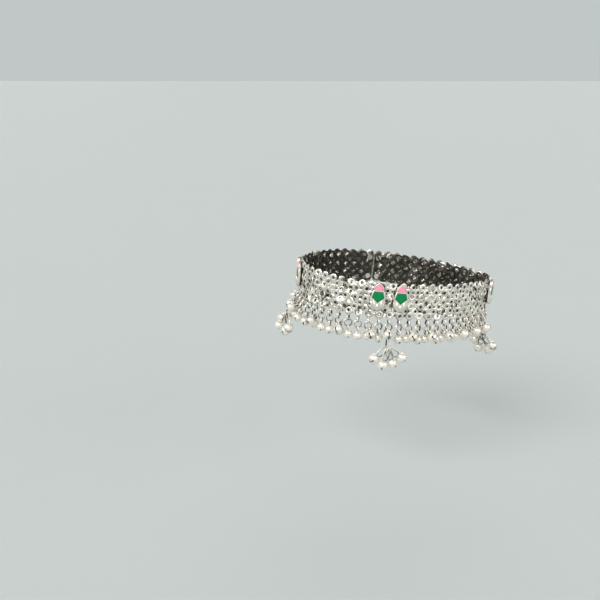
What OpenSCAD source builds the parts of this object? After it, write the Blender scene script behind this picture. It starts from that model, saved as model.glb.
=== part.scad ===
// Bell-fringed silver anklet: a woven mesh band with enamel drops, jump rings and jingle bells.
// Millimetres, +Z up. The origin is the middle of the ankle opening at half the height of the
// mesh. +X is the heel end of the oval, -X the instep end and -Y the side with the front cluster.

/* [Mesh band] */
// Half the length of the oval, to the middle of the mesh
half_length = 48; // [46:0.5:52]
// Radius of the blunt end over the instep
instep_radius = 37; // [35:0.5:38]
// Radius of the narrow end behind the ankle
heel_radius = 13; // [12:0.5:16]
// Radius of the two long sides
side_radius = 68; // [66:1:74]
// Height of the mesh
mesh_height = 18.8; // [18:0.1:22]
// Thickness of the mesh
mesh_thickness = 2.2; // [1.8:0.1:2.4]
// Lean of the loop, instep side up, in degrees
lean = 5.5; // [0:0.5:8]
// Links in one row round the mesh
link_count = 54; // [54:2:56]
// Radius of the gaps cut through the mesh
gap_radius = 0.9; // [0.6:0.1:1.1]

/* [Fringe] */
// Diameter of the wire of the eyelets and jump rings
ring_wire = 0.8; // [0.6:0.05:0.9]
// Radius of a jump ring, to the middle of its wire
jump_ring_radius = 1.95; // [1.9:0.05:2.05]
// Radius of a fringe bell
bell_radius = 2.25; // [1.9:0.05:2.3]
// Outward flare of the fringe over the instep, in degrees
instep_flare = 42; // [0:1:45]

/* [Clusters] */
// Radius of a cluster bell
cluster_bell_radius = 2.55; // [2.2:0.05:2.55]
// Length of the long link, between the middles of its bars
long_link_length = 9.1; // [8:0.1:12]

/* [Enamel drops] */
// Width of an enamel drop
drop_width = 6.9; // [6:0.1:7.4]
// Distance of a drop from its cluster's station, along the mesh
drop_offset = 5.3; // [4.5:0.05:7]
// Height of a drop's middle above the middle of the mesh
drop_lift = 2.2; // [0:0.1:2.5]

/* [Clasp] */
// Width of the clasp plate, along the mesh
clasp_width = 8; // [7:0.1:9]
// Height of the clasp plate
clasp_height = 14; // [13:0.1:17]

/* [Hidden] */
CLUSTERS = ["front", "heel", "instep"];
SIDES = ["a", "b"];

$fn = 48;
arc_steps = 240;
past = 1;

// Arcs of the oval: the ends are centred on the X axis and the sides at (side_x, +-side_y)
instep_x = instep_radius - half_length;
heel_x = half_length - heel_radius;
to_instep = side_radius - instep_radius;
to_heel = side_radius - heel_radius;
side_x = (to_instep ^ 2 - to_heel ^ 2 + heel_x ^ 2 - instep_x ^ 2) / (2 * (heel_x - instep_x));
side_y = sqrt(to_instep ^ 2 - (side_x - instep_x) ^ 2);

// Directions of the outward normal where the arcs meet, on the +Y half
heel_turn = atan2(side_y, heel_x - side_x);
instep_turn = atan2(side_y, instep_x - side_x);

// Lengths along the middle of the mesh, anticlockwise from the heel end
function arc_length(radius, degrees) = radius * degrees * PI / 180;
function arc_degrees(radius, distance) = distance / radius * 180 / PI;
heel_length = arc_length(heel_radius, heel_turn);
side_length = arc_length(side_radius, instep_turn - heel_turn);
instep_length = arc_length(instep_radius, 360 - 2 * instep_turn);
loop_length = 2 * heel_length + 2 * side_length + instep_length;
pitch = loop_length / link_count;

far_side_from = heel_length;
instep_from = far_side_from + side_length;
near_side_from = instep_from + instep_length;
heel_from = near_side_from + side_length;

// Outward direction of the oval at a distance along it
function wrapped(u) = u - loop_length * floor(u / loop_length);
function direction(u) = wrapped_direction(wrapped(u));
function wrapped_direction(u) =
    u < far_side_from ? arc_degrees(heel_radius, u) :
    u < instep_from ? heel_turn + arc_degrees(side_radius, u - far_side_from) :
    u < near_side_from ? instep_turn + arc_degrees(instep_radius, u - instep_from) :
    u < heel_from ? 360 - instep_turn + arc_degrees(side_radius, u - near_side_from) :
    360 - heel_turn + arc_degrees(heel_radius, u - heel_from);

// Middle and radius of the arc that has a given outward direction
function arc_centre(a) =
    a < heel_turn || a > 360 - heel_turn ? [heel_x, 0] :
    a < instep_turn ? [side_x, -side_y] :
    a < 360 - instep_turn ? [instep_x, 0] : [side_x, side_y];
function arc_radius(a) =
    a < heel_turn || a > 360 - heel_turn ? heel_radius :
    a > instep_turn && a < 360 - instep_turn ? instep_radius : side_radius;
function on_oval(u) = let (a = direction(u)) arc_centre(a) + arc_radius(a) * [cos(a), sin(a)];
function leaned(p) = [p.x * cos(lean) + p.z * sin(lean), p.y, p.z * cos(lean) - p.x * sin(lean)];

// Fringe sizes, downwards from the lower edge of the mesh
wire = ring_wire / 2;
eyelet_radius = 1.55;
eyelet_drop = 1.2;
eyelet_z = -mesh_height / 2 - eyelet_drop;
hang_gap = 0.17;
hang_step = 2 * wire + hang_gap;
jump_ring_drop = eyelet_radius - hang_step + jump_ring_radius;
loop_wire = 0.35;
loop_radius = 1.35;
loop_rise = wire + hang_gap + loop_wire;
solder_depth = 0.25;
bell_wall = 0.35;
slit_width = 0.45;
slit_reach = 0.8;

// Stations are numbered from the heel end. The ends and the front carry a cluster.
heel_station = 0;
instep_station = link_count / 2;
front_share = 0.74;
front_station = round(front_share * link_count);
STATIONS = [for (i = [0 : link_count - 1]) i];
// Jump rings hang turned out of the face of the mesh by these angles, in order
RING_TWISTS = [10, 26, 18, 30, 22];
calm_twist = 0;
// Stations whose jump ring holds a second bell, in front of the first
PAIRED = [2, 5, 8, 11, 18, 21, 24, 29, 32, 35, 38, 42, 44, 46, 48, 50, 52];
function is_paired(i) = len(search(i, PAIRED)) > 0;
function ring_twist(i) = is_paired(i) ? calm_twist : RING_TWISTS[i % len(RING_TWISTS)];
// Slits lie about square to the mesh, and stray from bell to bell within this range
least_bell_spin = 55;
bell_spin_range = 70;
bell_spin_step = 67;
function bell_spin(i) = least_bell_spin + bell_spin_step * i % bell_spin_range;
// Where a bell hangs: degrees round its ring, degrees turned back upright, degrees tipped outwards
single_seat = [0, 0, 0];
rear_seat = [-10, -10, -20];
front_seat = [27, 12, 62];
// A bell hangs there in front of the front cluster's long link
link_front_seat = [-44, -20, 70];

// Fringe near the instep end flares out, and hangs straight past this many degrees round
flare_span = 56;
function flare(a) = let (off = abs(a - 180)) off < flare_span ?
    instep_flare * cos(90 * off / flare_span) ^ 2 : 0;

// Clusters: name, station, twist of the ring and link, flare, extra length of the long link,
// distance by which both drops stand further along the mesh
CLUSTER_ROWS = [
    ["front", front_station, 14, 0, 1.1, -1.4],
    ["heel", heel_station, 40, 4, 0, 0],
    ["instep", instep_station, 30, 26, 0, 0],
];
function cluster_row(name) = [for (row = CLUSTER_ROWS) if (row[0] == name) row][0];
function link_length(name) = long_link_length + cluster_row(name)[4];
function is_cluster(i) = i == heel_station || i == instep_station || i == front_station;

// Bells of a cluster fan out from the lower bar of the long link, each eye in a plane of its own
FAN_TURNS = [-58, -21, 21, 58];
FAN_PLACES = [-1.5, 0.5, -0.5, 1.5];
eye_radius = 1.6;
eye_straight = 3.4;
link_top_half = 0.95;
link_foot_half = 2.6;
link_bend = 0.7;
bend_swell = 0.03;
rod_seat = 0.1;

// Enamel drops: sizes in the plane of the drop, from its middle
drop_shoulder = -0.6;
dome_half = 2.6;
dome_curve = 4.05;
cup_straight = 2.6;
cup_curve = 3.7;
plate_thickness = 1.2;
pocket_depth = 0.6;
rim_width = 0.45;
pink_foot = 2.6;
green_head = 2.35;
green_tip = -3.3;
enamel_gap = 0.1;
enamel_rise = 0.35;
crown_radius = 9;
flute_radius = 0.3;
flute_foot = -9.4;
flute_length = 8.2;
flute_inset = 0.12;
FLUTE_TURNS = [-28, -14, 0, 14, 28];
seat_gap = 0.15;

// Clasp: pins on a plate, through the mesh on both sides of its split
clasp_station = 14.5;
split_width = 1;
pin_radius = 0.6;
gap_row_z = 5.2;
clasp_plate = 1;
pin_head_radius = 1.35;
pin_head_height = 0.5;

// Shapes that repeat

module at_distance(u, z) {
    p = on_oval(u);
    translate([p.x, p.y, z]) rotate([0, 0, direction(u)]) children();
}

module at_station(i, z) {
    at_distance(i * pitch, z) children();
}

// Solid disc of the oval, grown outwards by off
module oval(off) {
    reach = 3 * side_radius;
    translate([heel_x, 0]) circle(heel_radius + off, $fn = arc_steps);
    translate([instep_x, 0]) circle(instep_radius + off, $fn = arc_steps);
    for (side = [1, -1])
        intersection() {
            translate([side_x, -side * side_y]) circle(side_radius + off, $fn = arc_steps);
            translate([side_x, -side * side_y])
                polygon([[0, 0],
                         [reach * cos(heel_turn), side * reach * sin(heel_turn)],
                         [reach * cos(instep_turn), side * reach * sin(instep_turn)]]);
        }
}

// Round wire bent to a ring in the XY plane
module wire_ring(radius, thickness) {
    rotate_extrude() translate([radius, 0]) circle(thickness);
}

// Straight wire that is seated a little way into the bends at its ends
module rod(from, to) {
    v = to - from;
    translate(from)
        rotate([0, acos(v.z / norm(v)), atan2(v.y, v.x)])
            translate([0, 0, -rod_seat]) cylinder(h = norm(v) + 2 * rod_seat, r = wire);
}

module jump_ring() {
    rotate([0, 90, 0]) wire_ring(jump_ring_radius, wire);
}

// Carries its children to the middle of the jump ring that hangs at a station
module at_jump_ring(i, twist, tip) {
    p = on_oval(i * pitch);
    translate(leaned([p.x, p.y, eyelet_z]))
        rotate([0, 0, direction(i * pitch)])
            rotate([0, -tip, 0])
                rotate([0, 0, twist])
                    translate([0, 0, -jump_ring_drop])
                        children();
}

// Carries its children to the wire of a jump ring, at one of the seats above
module on_ring(seat) {
    rotate([seat[0], 0, 0])
        translate([0, 0, -jump_ring_radius])
            rotate([-seat[1], 0, 0])
                rotate([0, -seat[2], 0])
                    children();
}

// What is cut out of a ball: its hollow, and a slit underneath
module ball_cuts(radius) {
    sphere(radius - bell_wall);
    translate([0, 0, -radius]) cube([slit_width, 2 * slit_reach * radius, radius], center = true);
}

// Fringe bell: hangs from a wire at the origin by a loop in the XZ plane
module fringe_bell(spin) {
    loop_middle = loop_rise - loop_radius;
    ball_middle = loop_middle - loop_radius + solder_depth - bell_radius;
    difference() {
        union() {
            translate([0, 0, loop_middle]) rotate([90, 0, 0]) wire_ring(loop_radius, loop_wire);
            translate([0, 0, ball_middle]) sphere(bell_radius);
        }
        translate([0, 0, ball_middle]) rotate([0, 0, spin]) ball_cuts(bell_radius);
    }
}

// Cluster bell: hangs from a bar along X at the origin by a long eye in the YZ plane
module cluster_bell() {
    eye_top = loop_rise - eye_radius;
    eye_foot = eye_top - eye_straight;
    ball_middle = eye_foot - eye_radius + solder_depth - cluster_bell_radius;
    difference() {
        union() {
            translate([0, 0, eye_top])
                rotate([90, 0, 90]) rotate_extrude(angle = 180) translate([eye_radius, 0]) circle(loop_wire);
            translate([0, 0, eye_foot])
                rotate([-90, 0, 90]) rotate_extrude(angle = 180) translate([eye_radius, 0]) circle(loop_wire);
            for (side = [-1, 1])
                translate([0, side * eye_radius, eye_foot]) cylinder(h = eye_straight, r = loop_wire);
            translate([0, 0, ball_middle]) sphere(cluster_bell_radius);
        }
        translate([0, 0, ball_middle]) ball_cuts(cluster_bell_radius);
    }
}

// Long link in the XZ plane: a short top bar, two sides and a wider lower bar at the origin,
// joined by bends. The sides lean inwards going up.
module long_link(length) {
    side_lean = atan2(link_foot_half - link_top_half, length);
    foot_x = link_foot_half - link_bend / tan((90 - side_lean) / 2);
    top_x = link_top_half - link_bend / tan((90 + side_lean) / 2);
    foot = [foot_x, 0, link_bend];
    top = [top_x, 0, length - link_bend];
    to_side = link_bend * [cos(side_lean), 0, sin(side_lean)];
    rod([-foot_x, 0, 0], [foot_x, 0, 0]);
    rod([-top_x, 0, length], [top_x, 0, length]);
    for (side = [0, 1])
        mirror([side, 0, 0]) {
            rod(foot + to_side, top + to_side);
            wire_bend(foot, -90, side_lean);
            wire_bend(top, side_lean, 90);
        }
}

// Wire bent in the XZ plane, round a middle, from one direction to another
module wire_bend(middle, from, to) {
    translate(middle)
        rotate([90, 0, 0])
            rotate([0, 0, from])
                rotate_extrude(angle = to - from) translate([link_bend, 0]) circle(wire + bend_swell);
}

// Outlines of an enamel drop, X across and Y up
module drop_outline() {
    half = drop_width / 2;
    dome_outline(0);
    polygon([[-dome_half, pink_foot], [dome_half, pink_foot],
             [half, drop_shoulder], [-half, drop_shoulder]]);
    cup_outline(0);
}

// Pointed arch above the pink foot
module dome_outline(inset) {
    half = dome_half - inset;
    curve = dome_curve - inset;
    intersection() {
        translate([half - curve, pink_foot]) circle(curve, $fn = arc_steps);
        translate([curve - half, pink_foot]) circle(curve, $fn = arc_steps);
        translate([-half, pink_foot]) square([2 * half, curve]);
    }
}

module cup_outline(inset) {
    half = drop_width / 2 - inset;
    curve = cup_curve - inset;
    middle = drop_shoulder - cup_straight;
    translate([-half, middle]) square([2 * half, cup_straight]);
    intersection() {
        translate([half - curve, middle]) circle(curve, $fn = arc_steps);
        translate([curve - half, middle]) circle(curve, $fn = arc_steps);
        translate([-half, middle - curve]) square([2 * half, curve]);
    }
}

module pink_outline(inset) {
    intersection() {
        dome_outline(rim_width + inset);
        translate([-dome_half, pink_foot + inset]) square(2 * dome_half);
    }
}

module green_outline(inset) {
    head_half = dome_half - rim_width - inset;
    half = drop_width / 2 - rim_width - inset;
    polygon([[-head_half, green_head - inset], [head_half, green_head - inset],
             [half, drop_shoulder], [0, green_tip + inset], [-half, drop_shoulder]]);
}

// Enamel filling, crowned by the ball that its top is cut from
module enamel(middle) {
    intersection() {
        translate([0, 0, plate_thickness - pocket_depth + enamel_gap])
            linear_extrude(pocket_depth + enamel_rise) children();
        translate([0, middle, plate_thickness + enamel_rise - crown_radius])
            sphere(crown_radius, $fn = arc_steps);
    }
}

// Carries a flat drop, built on the XY plane with Z towards the viewer, to its place on the mesh
module at_drop(name, side) {
    row = cluster_row(name);
    u = row[1] * pitch + row[5] + (side == "a" ? -drop_offset : drop_offset);
    rotate([0, lean, 0])
        at_distance(u, drop_lift)
            translate([mesh_thickness / 2 + seat_gap, 0, 0])
                rotate([90, 0, 90])
                    children();
}

// Sub-parts

module mesh_band() {
    edge = mesh_height / 2;
    notch_half = 1.3;
    notch_depth = 1.1;
    color("silver")
        rotate([0, lean, 0])
            difference() {
                union() {
                    translate([0, 0, -edge]) linear_extrude(mesh_height)
                        difference() {
                            oval(mesh_thickness / 2);
                            oval(-mesh_thickness / 2);
                        }
                    for (i = STATIONS)
                        at_station(i, eyelet_z) rotate([90, 0, 0]) wire_ring(eyelet_radius, wire);
                }
                for (i = STATIONS) {
                    at_station(i, -gap_row_z) mesh_gap(gap_radius);
                    if (i + 0.5 != clasp_station) at_station(i + 0.5, gap_row_z) mesh_gap(gap_radius);
                    at_station(i + 0.5, edge) mesh_notch(notch_half, notch_depth);
                }
                for (side = [-0.5, 0.5]) at_station(clasp_station + side, gap_row_z) mesh_gap(gap_radius);
                at_station(clasp_station, 0)
                    cube([mesh_thickness + 2 * past, split_width, mesh_height + 2 * past], center = true);
            }
}

module mesh_gap(radius) {
    rotate([0, 90, 0]) cylinder(h = mesh_thickness + 2 * past, r = radius, center = true);
}

module mesh_notch(half, depth) {
    rotate([90, 0, 90])
        linear_extrude(mesh_thickness + 2 * past, center = true)
            polygon([[-half, past], [half, past], [half, 0], [0, -depth], [-half, 0]]);
}

module clasp() {
    back = mesh_thickness / 2 + seat_gap;
    reach = mesh_thickness + 2 * seat_gap;
    color("silver")
        rotate([0, lean, 0]) {
            at_station(clasp_station, 0)
                translate([back, -clasp_width / 2, -clasp_height / 2])
                    cube([clasp_plate, clasp_width, clasp_height]);
            for (side = [-0.5, 0.5], z = [-gap_row_z, gap_row_z])
                at_station(clasp_station + side, z)
                    rotate([0, 90, 0]) {
                        cylinder(h = reach + clasp_plate, r = pin_radius, center = true);
                        translate([0, 0, -reach / 2 - pin_head_height])
                            cylinder(h = pin_head_height, r = pin_head_radius);
                    }
        }
}

module jump_rings() {
    color("gainsboro") {
        for (i = STATIONS)
            if (!is_cluster(i))
                at_jump_ring(i, ring_twist(i), flare(direction(i * pitch))) jump_ring();
        for (row = CLUSTER_ROWS) at_jump_ring(row[1], row[2], row[3]) jump_ring();
    }
}

module fringe_bells() {
    color("gainsboro") {
        for (i = STATIONS)
            if (!is_cluster(i))
                at_jump_ring(i, ring_twist(i), flare(direction(i * pitch))) {
                    seats = is_paired(i) ? [rear_seat, front_seat] : [single_seat];
                    for (seat = seats) on_ring(seat) fringe_bell(bell_spin(i));
                }
        front = cluster_row("front");
        at_jump_ring(front[1], front[2], front[3])
            on_ring(link_front_seat) fringe_bell(bell_spin(front[1]));
    }
}

// Carries its children to the lower bar of a cluster's long link
module at_cluster(name) {
    row = cluster_row(name);
    at_jump_ring(row[1], row[2], row[3])
        translate([0, 0, hang_step - jump_ring_radius - link_length(name)])
            children();
}

module cluster_link(name) {
    color("silver") at_cluster(name) long_link(link_length(name));
}

module cluster_bell_at(name, k) {
    color("gainsboro")
        at_cluster(name)
            translate([FAN_PLACES[k - 1], 0, 0])
                rotate([FAN_TURNS[k - 1], 0, 0])
                    cluster_bell();
}

module drop_setting(name, side) {
    color("silver")
        at_drop(name, side) {
            difference() {
                linear_extrude(plate_thickness) drop_outline();
                translate([0, 0, plate_thickness - pocket_depth]) linear_extrude(past) {
                    pink_outline(0);
                    green_outline(0);
                }
            }
            intersection() {
                for (turn = FLUTE_TURNS)
                    translate([0, flute_foot, plate_thickness])
                        rotate([-90, 0, turn])
                            cylinder(h = flute_length, r = flute_radius);
                linear_extrude(plate_thickness + flute_radius)
                    difference() {
                        cup_outline(flute_inset);
                        green_outline(-rim_width);
                    }
            }
        }
}

module drop_pink_enamel(name, side) {
    color([1, 0.63, 0.75]) at_drop(name, side) enamel(pink_foot) pink_outline(enamel_gap);
}

module drop_green_enamel(name, side) {
    color([0, 0.55, 0.32]) at_drop(name, side) enamel(0) green_outline(enamel_gap);
}

mesh_band();
clasp();
jump_rings();
fringe_bells();
for (c = CLUSTERS) {
    cluster_link(c);
    for (k = [1 : 4])
        cluster_bell_at(c, k);
    for (s = SIDES) {
        drop_setting(c, s);
        drop_pink_enamel(c, s);
        drop_green_enamel(c, s);
    }
}
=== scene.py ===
"""Looks of a bell-fringed silver anklet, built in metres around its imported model.

The band is made of small links in two layers, the fringe of wire rings and pierced hollow
bells, and the drops of crowned enamel in fluted settings. Every place is worked out from the
oval line that the middle of the mesh follows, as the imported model's places are.
"""
from __future__ import annotations

import logging
import math
import random
from dataclasses import dataclass, field
from enum import Enum
from typing import Callable, Iterable, Mapping, Sequence

import bmesh
import bpy
from mathutils import Matrix, Vector


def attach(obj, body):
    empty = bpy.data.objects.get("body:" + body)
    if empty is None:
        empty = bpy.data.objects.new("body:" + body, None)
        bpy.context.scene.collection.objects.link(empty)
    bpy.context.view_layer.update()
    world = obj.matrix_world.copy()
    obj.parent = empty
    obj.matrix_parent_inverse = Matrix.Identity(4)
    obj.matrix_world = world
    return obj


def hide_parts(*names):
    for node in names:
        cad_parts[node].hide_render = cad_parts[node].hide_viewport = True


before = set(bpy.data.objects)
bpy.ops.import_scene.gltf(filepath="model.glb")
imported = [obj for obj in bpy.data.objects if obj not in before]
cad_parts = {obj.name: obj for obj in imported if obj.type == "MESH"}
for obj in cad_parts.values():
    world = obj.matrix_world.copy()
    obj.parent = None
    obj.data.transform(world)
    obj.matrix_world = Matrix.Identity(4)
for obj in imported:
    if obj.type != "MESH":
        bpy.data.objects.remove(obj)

LOG = logging.getLogger("anklet")
MM = 0.001
BODY = "root"
NO_MATERIAL = -1
ROUND_PROFILE = 0.5
ROUND_STEPS = 2
WELD_REACH = 0.01 * MM
QUARTER_TURN = math.pi / 2
RELIEF = "relief"
TONE = "tone"
MIDDLE_TONE = 0.5
MIDDLE_NOISE = 0.5
WIRE = 0.8 * MM
EYELET_RADIUS = 1.55 * MM
EYELET_HEIGHT = -10.6 * MM
BEAD_FACETS = (8, 6)
BEAD_SQUAT = (1, 1, 0.6)
X_AXIS, Y_AXIS, Z_AXIS = Vector((1, 0, 0)), Vector((0, 1, 0)), Vector((0, 0, 1))
Colour = tuple[float, float, float, float]


class Cluster(Enum):
    """Places of the three clusters of larger bells."""

    FRONT = "front"
    HEEL = "heel"
    INSTEP = "instep"


class Side(Enum):
    """The two enamel drops of a pair, with the way each lies from its cluster."""

    A = -1
    B = 1


class Cut(Enum):
    """What is kept of a mesh when another one is laid over it."""

    OUTSIDE = "DIFFERENCE"
    INSIDE = "INTERSECT"


# Where everything goes


@dataclass(frozen=True)
class Arc:
    """One arc of the oval, seen from above.

    Args:
        centre: Middle of the arc.
        radius: Its radius.
        start: Direction of the outward normal where it begins, in radians.
        sweep: How far it turns, anticlockwise.
    """

    centre: Vector
    radius: float
    start: float
    sweep: float

    @property
    def length(self) -> float:
        """Length along the arc."""
        return self.radius * self.sweep


@dataclass(frozen=True)
class Oval:
    """The egg-shaped line round the ankle that the middle of the mesh follows.

    Args:
        half_length: Half the length of the oval.
        instep_radius: Radius of its blunt end.
        heel_radius: Radius of its narrow end.
        side_radius: Radius of its two long sides.
        stations: Links in one row round the mesh.
        lean: Lean of the loop, instep side up.
    """

    half_length: float = 48 * MM
    instep_radius: float = 37 * MM
    heel_radius: float = 13 * MM
    side_radius: float = 68 * MM
    stations: int = 54
    lean: float = math.radians(5.5)

    @property
    def arcs(self) -> tuple[Arc, ...]:
        """The five arcs, anticlockwise from the tip of the heel end."""
        instep = Vector((self.instep_radius - self.half_length, 0))
        heel = Vector((self.half_length - self.heel_radius, 0))
        to_instep = self.side_radius - self.instep_radius
        to_heel = self.side_radius - self.heel_radius
        spread = 2 * (heel.x - instep.x)
        side_x = (to_instep**2 - to_heel**2 + heel.x**2 - instep.x**2) / spread
        side_y = math.sqrt(to_instep**2 - (side_x - instep.x) ** 2)
        first = math.atan2(side_y, heel.x - side_x)
        second = math.atan2(side_y, instep.x - side_x)
        return (
            Arc(heel, self.heel_radius, 0, first),
            Arc(Vector((side_x, -side_y)), self.side_radius, first, second - first),
            Arc(instep, self.instep_radius, second, math.tau - 2 * second),
            Arc(Vector((side_x, side_y)), self.side_radius, math.tau - second, second - first),
            Arc(heel, self.heel_radius, math.tau - first, first),
        )

    @property
    def pitch(self) -> float:
        """Distance from one station to the next."""
        return sum(arc.length for arc in self.arcs) / self.stations

    def locate(self, station: float) -> tuple[Vector, float]:
        """Finds a place on the oval.

        Args:
            station: Place round the mesh, counted in links from the heel end.

        Returns:
            The point seen from above, and the direction of the outward normal.
        """
        left = (station % self.stations) * self.pitch
        for arc in self.arcs:
            if left <= arc.length:
                break
            left -= arc.length
        turn = arc.start + left / arc.radius
        return arc.centre + arc.radius * Vector((math.cos(turn), math.sin(turn))), turn

    def on_mesh(self, station: float, height: float) -> Matrix:
        """Frame on the middle of the mesh: X outwards, Y along it and Z up it.

        Args:
            station: Place round the mesh, in links.
            height: Height above the middle of the mesh.

        Returns:
            The frame.
        """
        point, turn = self.locate(station)
        leaned = Matrix.Rotation(self.lean, 4, "Y")
        return leaned @ Matrix.Translation((*point, height)) @ Matrix.Rotation(turn, 4, "Z")

    def hanging(self, station: float, height: float, flare: float, twist: float) -> Matrix:
        """Frame that hangs plumb from a point of the mesh.

        Args:
            station: Place round the mesh, in links.
            height: Height of the point above the middle of the mesh.
            flare: How far the frame flares outwards.
            twist: How far it is twisted about its own upright.

        Returns:
            The frame.
        """
        point, turn = self.locate(station)
        top = Matrix.Rotation(self.lean, 4, "Y") @ Vector((*point, height))
        return (
            Matrix.Translation(top)
            @ Matrix.Rotation(turn, 4, "Z")
            @ Matrix.Rotation(-flare, 4, "Y")
            @ Matrix.Rotation(twist, 4, "Z")
        )


OVAL = Oval()


# Shader maths


class Sock:
    """A socket of a material's node tree, with operators that add Math nodes."""

    def __init__(self, shader: "Shader", socket: bpy.types.NodeSocket) -> None:
        """Wraps an output socket of a shader's tree."""
        self.shader = shader
        self.socket = socket

    def _math(self, operation: str, *values: "Sock | float", clamp: bool = False) -> "Sock":
        """Adds a Math node and returns its output."""
        settings = {"operation": operation, "use_clamp": clamp}
        return self.shader.node("ShaderNodeMath", settings, dict(enumerate(values)))

    def __add__(self, other: "Sock | float") -> "Sock":
        """Sum."""
        return self._math("ADD", self, other)

    __radd__ = __add__

    def __mul__(self, other: "Sock | float") -> "Sock":
        """Product."""
        return self._math("MULTIPLY", self, other)

    __rmul__ = __mul__

    def __sub__(self, other: "Sock | float") -> "Sock":
        """Difference."""
        return self._math("SUBTRACT", self, other)

    def __rsub__(self, other: "Sock | float") -> "Sock":
        """Difference, the other way round."""
        return self._math("SUBTRACT", other, self)

    def step(self, low: float, high: float) -> "Sock":
        """Rises smoothly from 0 at low to 1 at high."""
        values = {"Value": self, "From Min": low, "From Max": high}
        return self.shader.node("ShaderNodeMapRange", {"interpolation_type": "SMOOTHSTEP"}, values)

    def clamped(self) -> "Sock":
        """The value kept between 0 and 1."""
        return self._math("ADD", self, 0.0, clamp=True)


class Shader:
    """Builds one node-based material."""

    def __init__(self, name: str) -> None:
        """Makes the material with its Principled shader.

        Args:
            name: Name of the material.
        """
        self.material = bpy.data.materials.new(name)
        self.material.use_nodes = True
        self.tree = self.material.node_tree
        self.surface = self.tree.nodes["Principled BSDF"]

    def node(
        self,
        kind: str,
        settings: Mapping[str, object],
        values: Mapping[str | int, object],
        output: str | int = 0,
    ) -> Sock:
        """Adds a node, sets it up and wires its inputs.

        Args:
            kind: The node's type.
            settings: Its own settings, which are set first.
            values: Numbers, colours or sockets for its inputs, by name or place.
            output: The output that is wanted.

        Returns:
            That output.
        """
        made = self.tree.nodes.new(kind)
        for name, value in settings.items():
            if name == "stops":
                self.fill_ramp(made.color_ramp, value)
            else:
                setattr(made, name, value)
        for name, value in values.items():
            self.feed(made.inputs[name], value)
        return Sock(self, made.outputs[output])

    def fill_ramp(self, ramp: bpy.types.ColorRamp, stops: Iterable[tuple[float, Colour]]) -> None:
        """Gives a colour ramp its stops, in place of the two that it starts with.

        Args:
            ramp: The ramp.
            stops: Its stops, each a place from 0 to 1 and a colour.
        """
        first, last = ramp.elements
        for place, colour in stops:
            ramp.elements.new(place).color = colour
        ramp.elements.remove(last)
        ramp.elements.remove(first)

    def feed(self, entry: bpy.types.NodeSocket, value: object) -> None:
        """Links a socket to an input, or sets the input's own value.

        Args:
            entry: The input.
            value: A socket, or a number, vector or colour.
        """
        if isinstance(value, Sock):
            self.tree.links.new(value.socket, entry)
        else:
            entry.default_value = value

    def place(self) -> Sock:
        """Object coordinates, in metres."""
        return self.node("ShaderNodeTexCoord", {}, {}, "Object")

    def attribute(self, name: str) -> Sock:
        """A number that the mesh holds at its points."""
        return self.node("ShaderNodeAttribute", {"attribute_name": name}, {}, "Fac")

    def noise(self, size: float, detail: float = 3.0) -> Sock:
        """Soft noise whose lumps are about as wide as size."""
        values = {"Vector": self.place(), "Scale": 1 / size, "Detail": detail}
        return self.node("ShaderNodeTexNoise", {}, values, "Fac")

    def mix(self, factor: Sock, low: Sequence[float] | Sock, high: Sequence[float] | Sock) -> Sock:
        """Blends two colours."""
        settings = {"data_type": "RGBA"}
        return self.node("ShaderNodeMix", settings, {0: factor, 6: low, 7: high}, 2)

    def bump(self, height: Sock, depth: float, strength: float) -> Sock:
        """Turns a height into a bent normal."""
        values = {"Height": height, "Distance": depth, "Strength": strength}
        return self.node("ShaderNodeBump", {}, values, "Normal")

    def finish(self, constants: Mapping[str, object], varied: Mapping[str, Sock]) -> bpy.types.Material:
        """Sets the Principled shader's sockets.

        Args:
            constants: Values that are the same all over.
            varied: Sockets for what changes over the surface.

        Returns:
            The material.
        """
        for name, value in {**constants, **varied}.items():
            self.feed(self.surface.inputs[name], value)
        return self.material


class RoomShader(Shader):
    """Builds the light of the room round the object."""

    def __init__(self, world: bpy.types.World) -> None:
        """Takes the background of a world as its surface.

        Args:
            world: The world.
        """
        world.use_nodes = True
        self.tree = world.node_tree
        self.surface = self.tree.nodes["Background"]

    def place(self) -> Sock:
        """Direction in which the room is seen."""
        return self.node("ShaderNodeTexCoord", {}, {}, "Generated")


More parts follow.
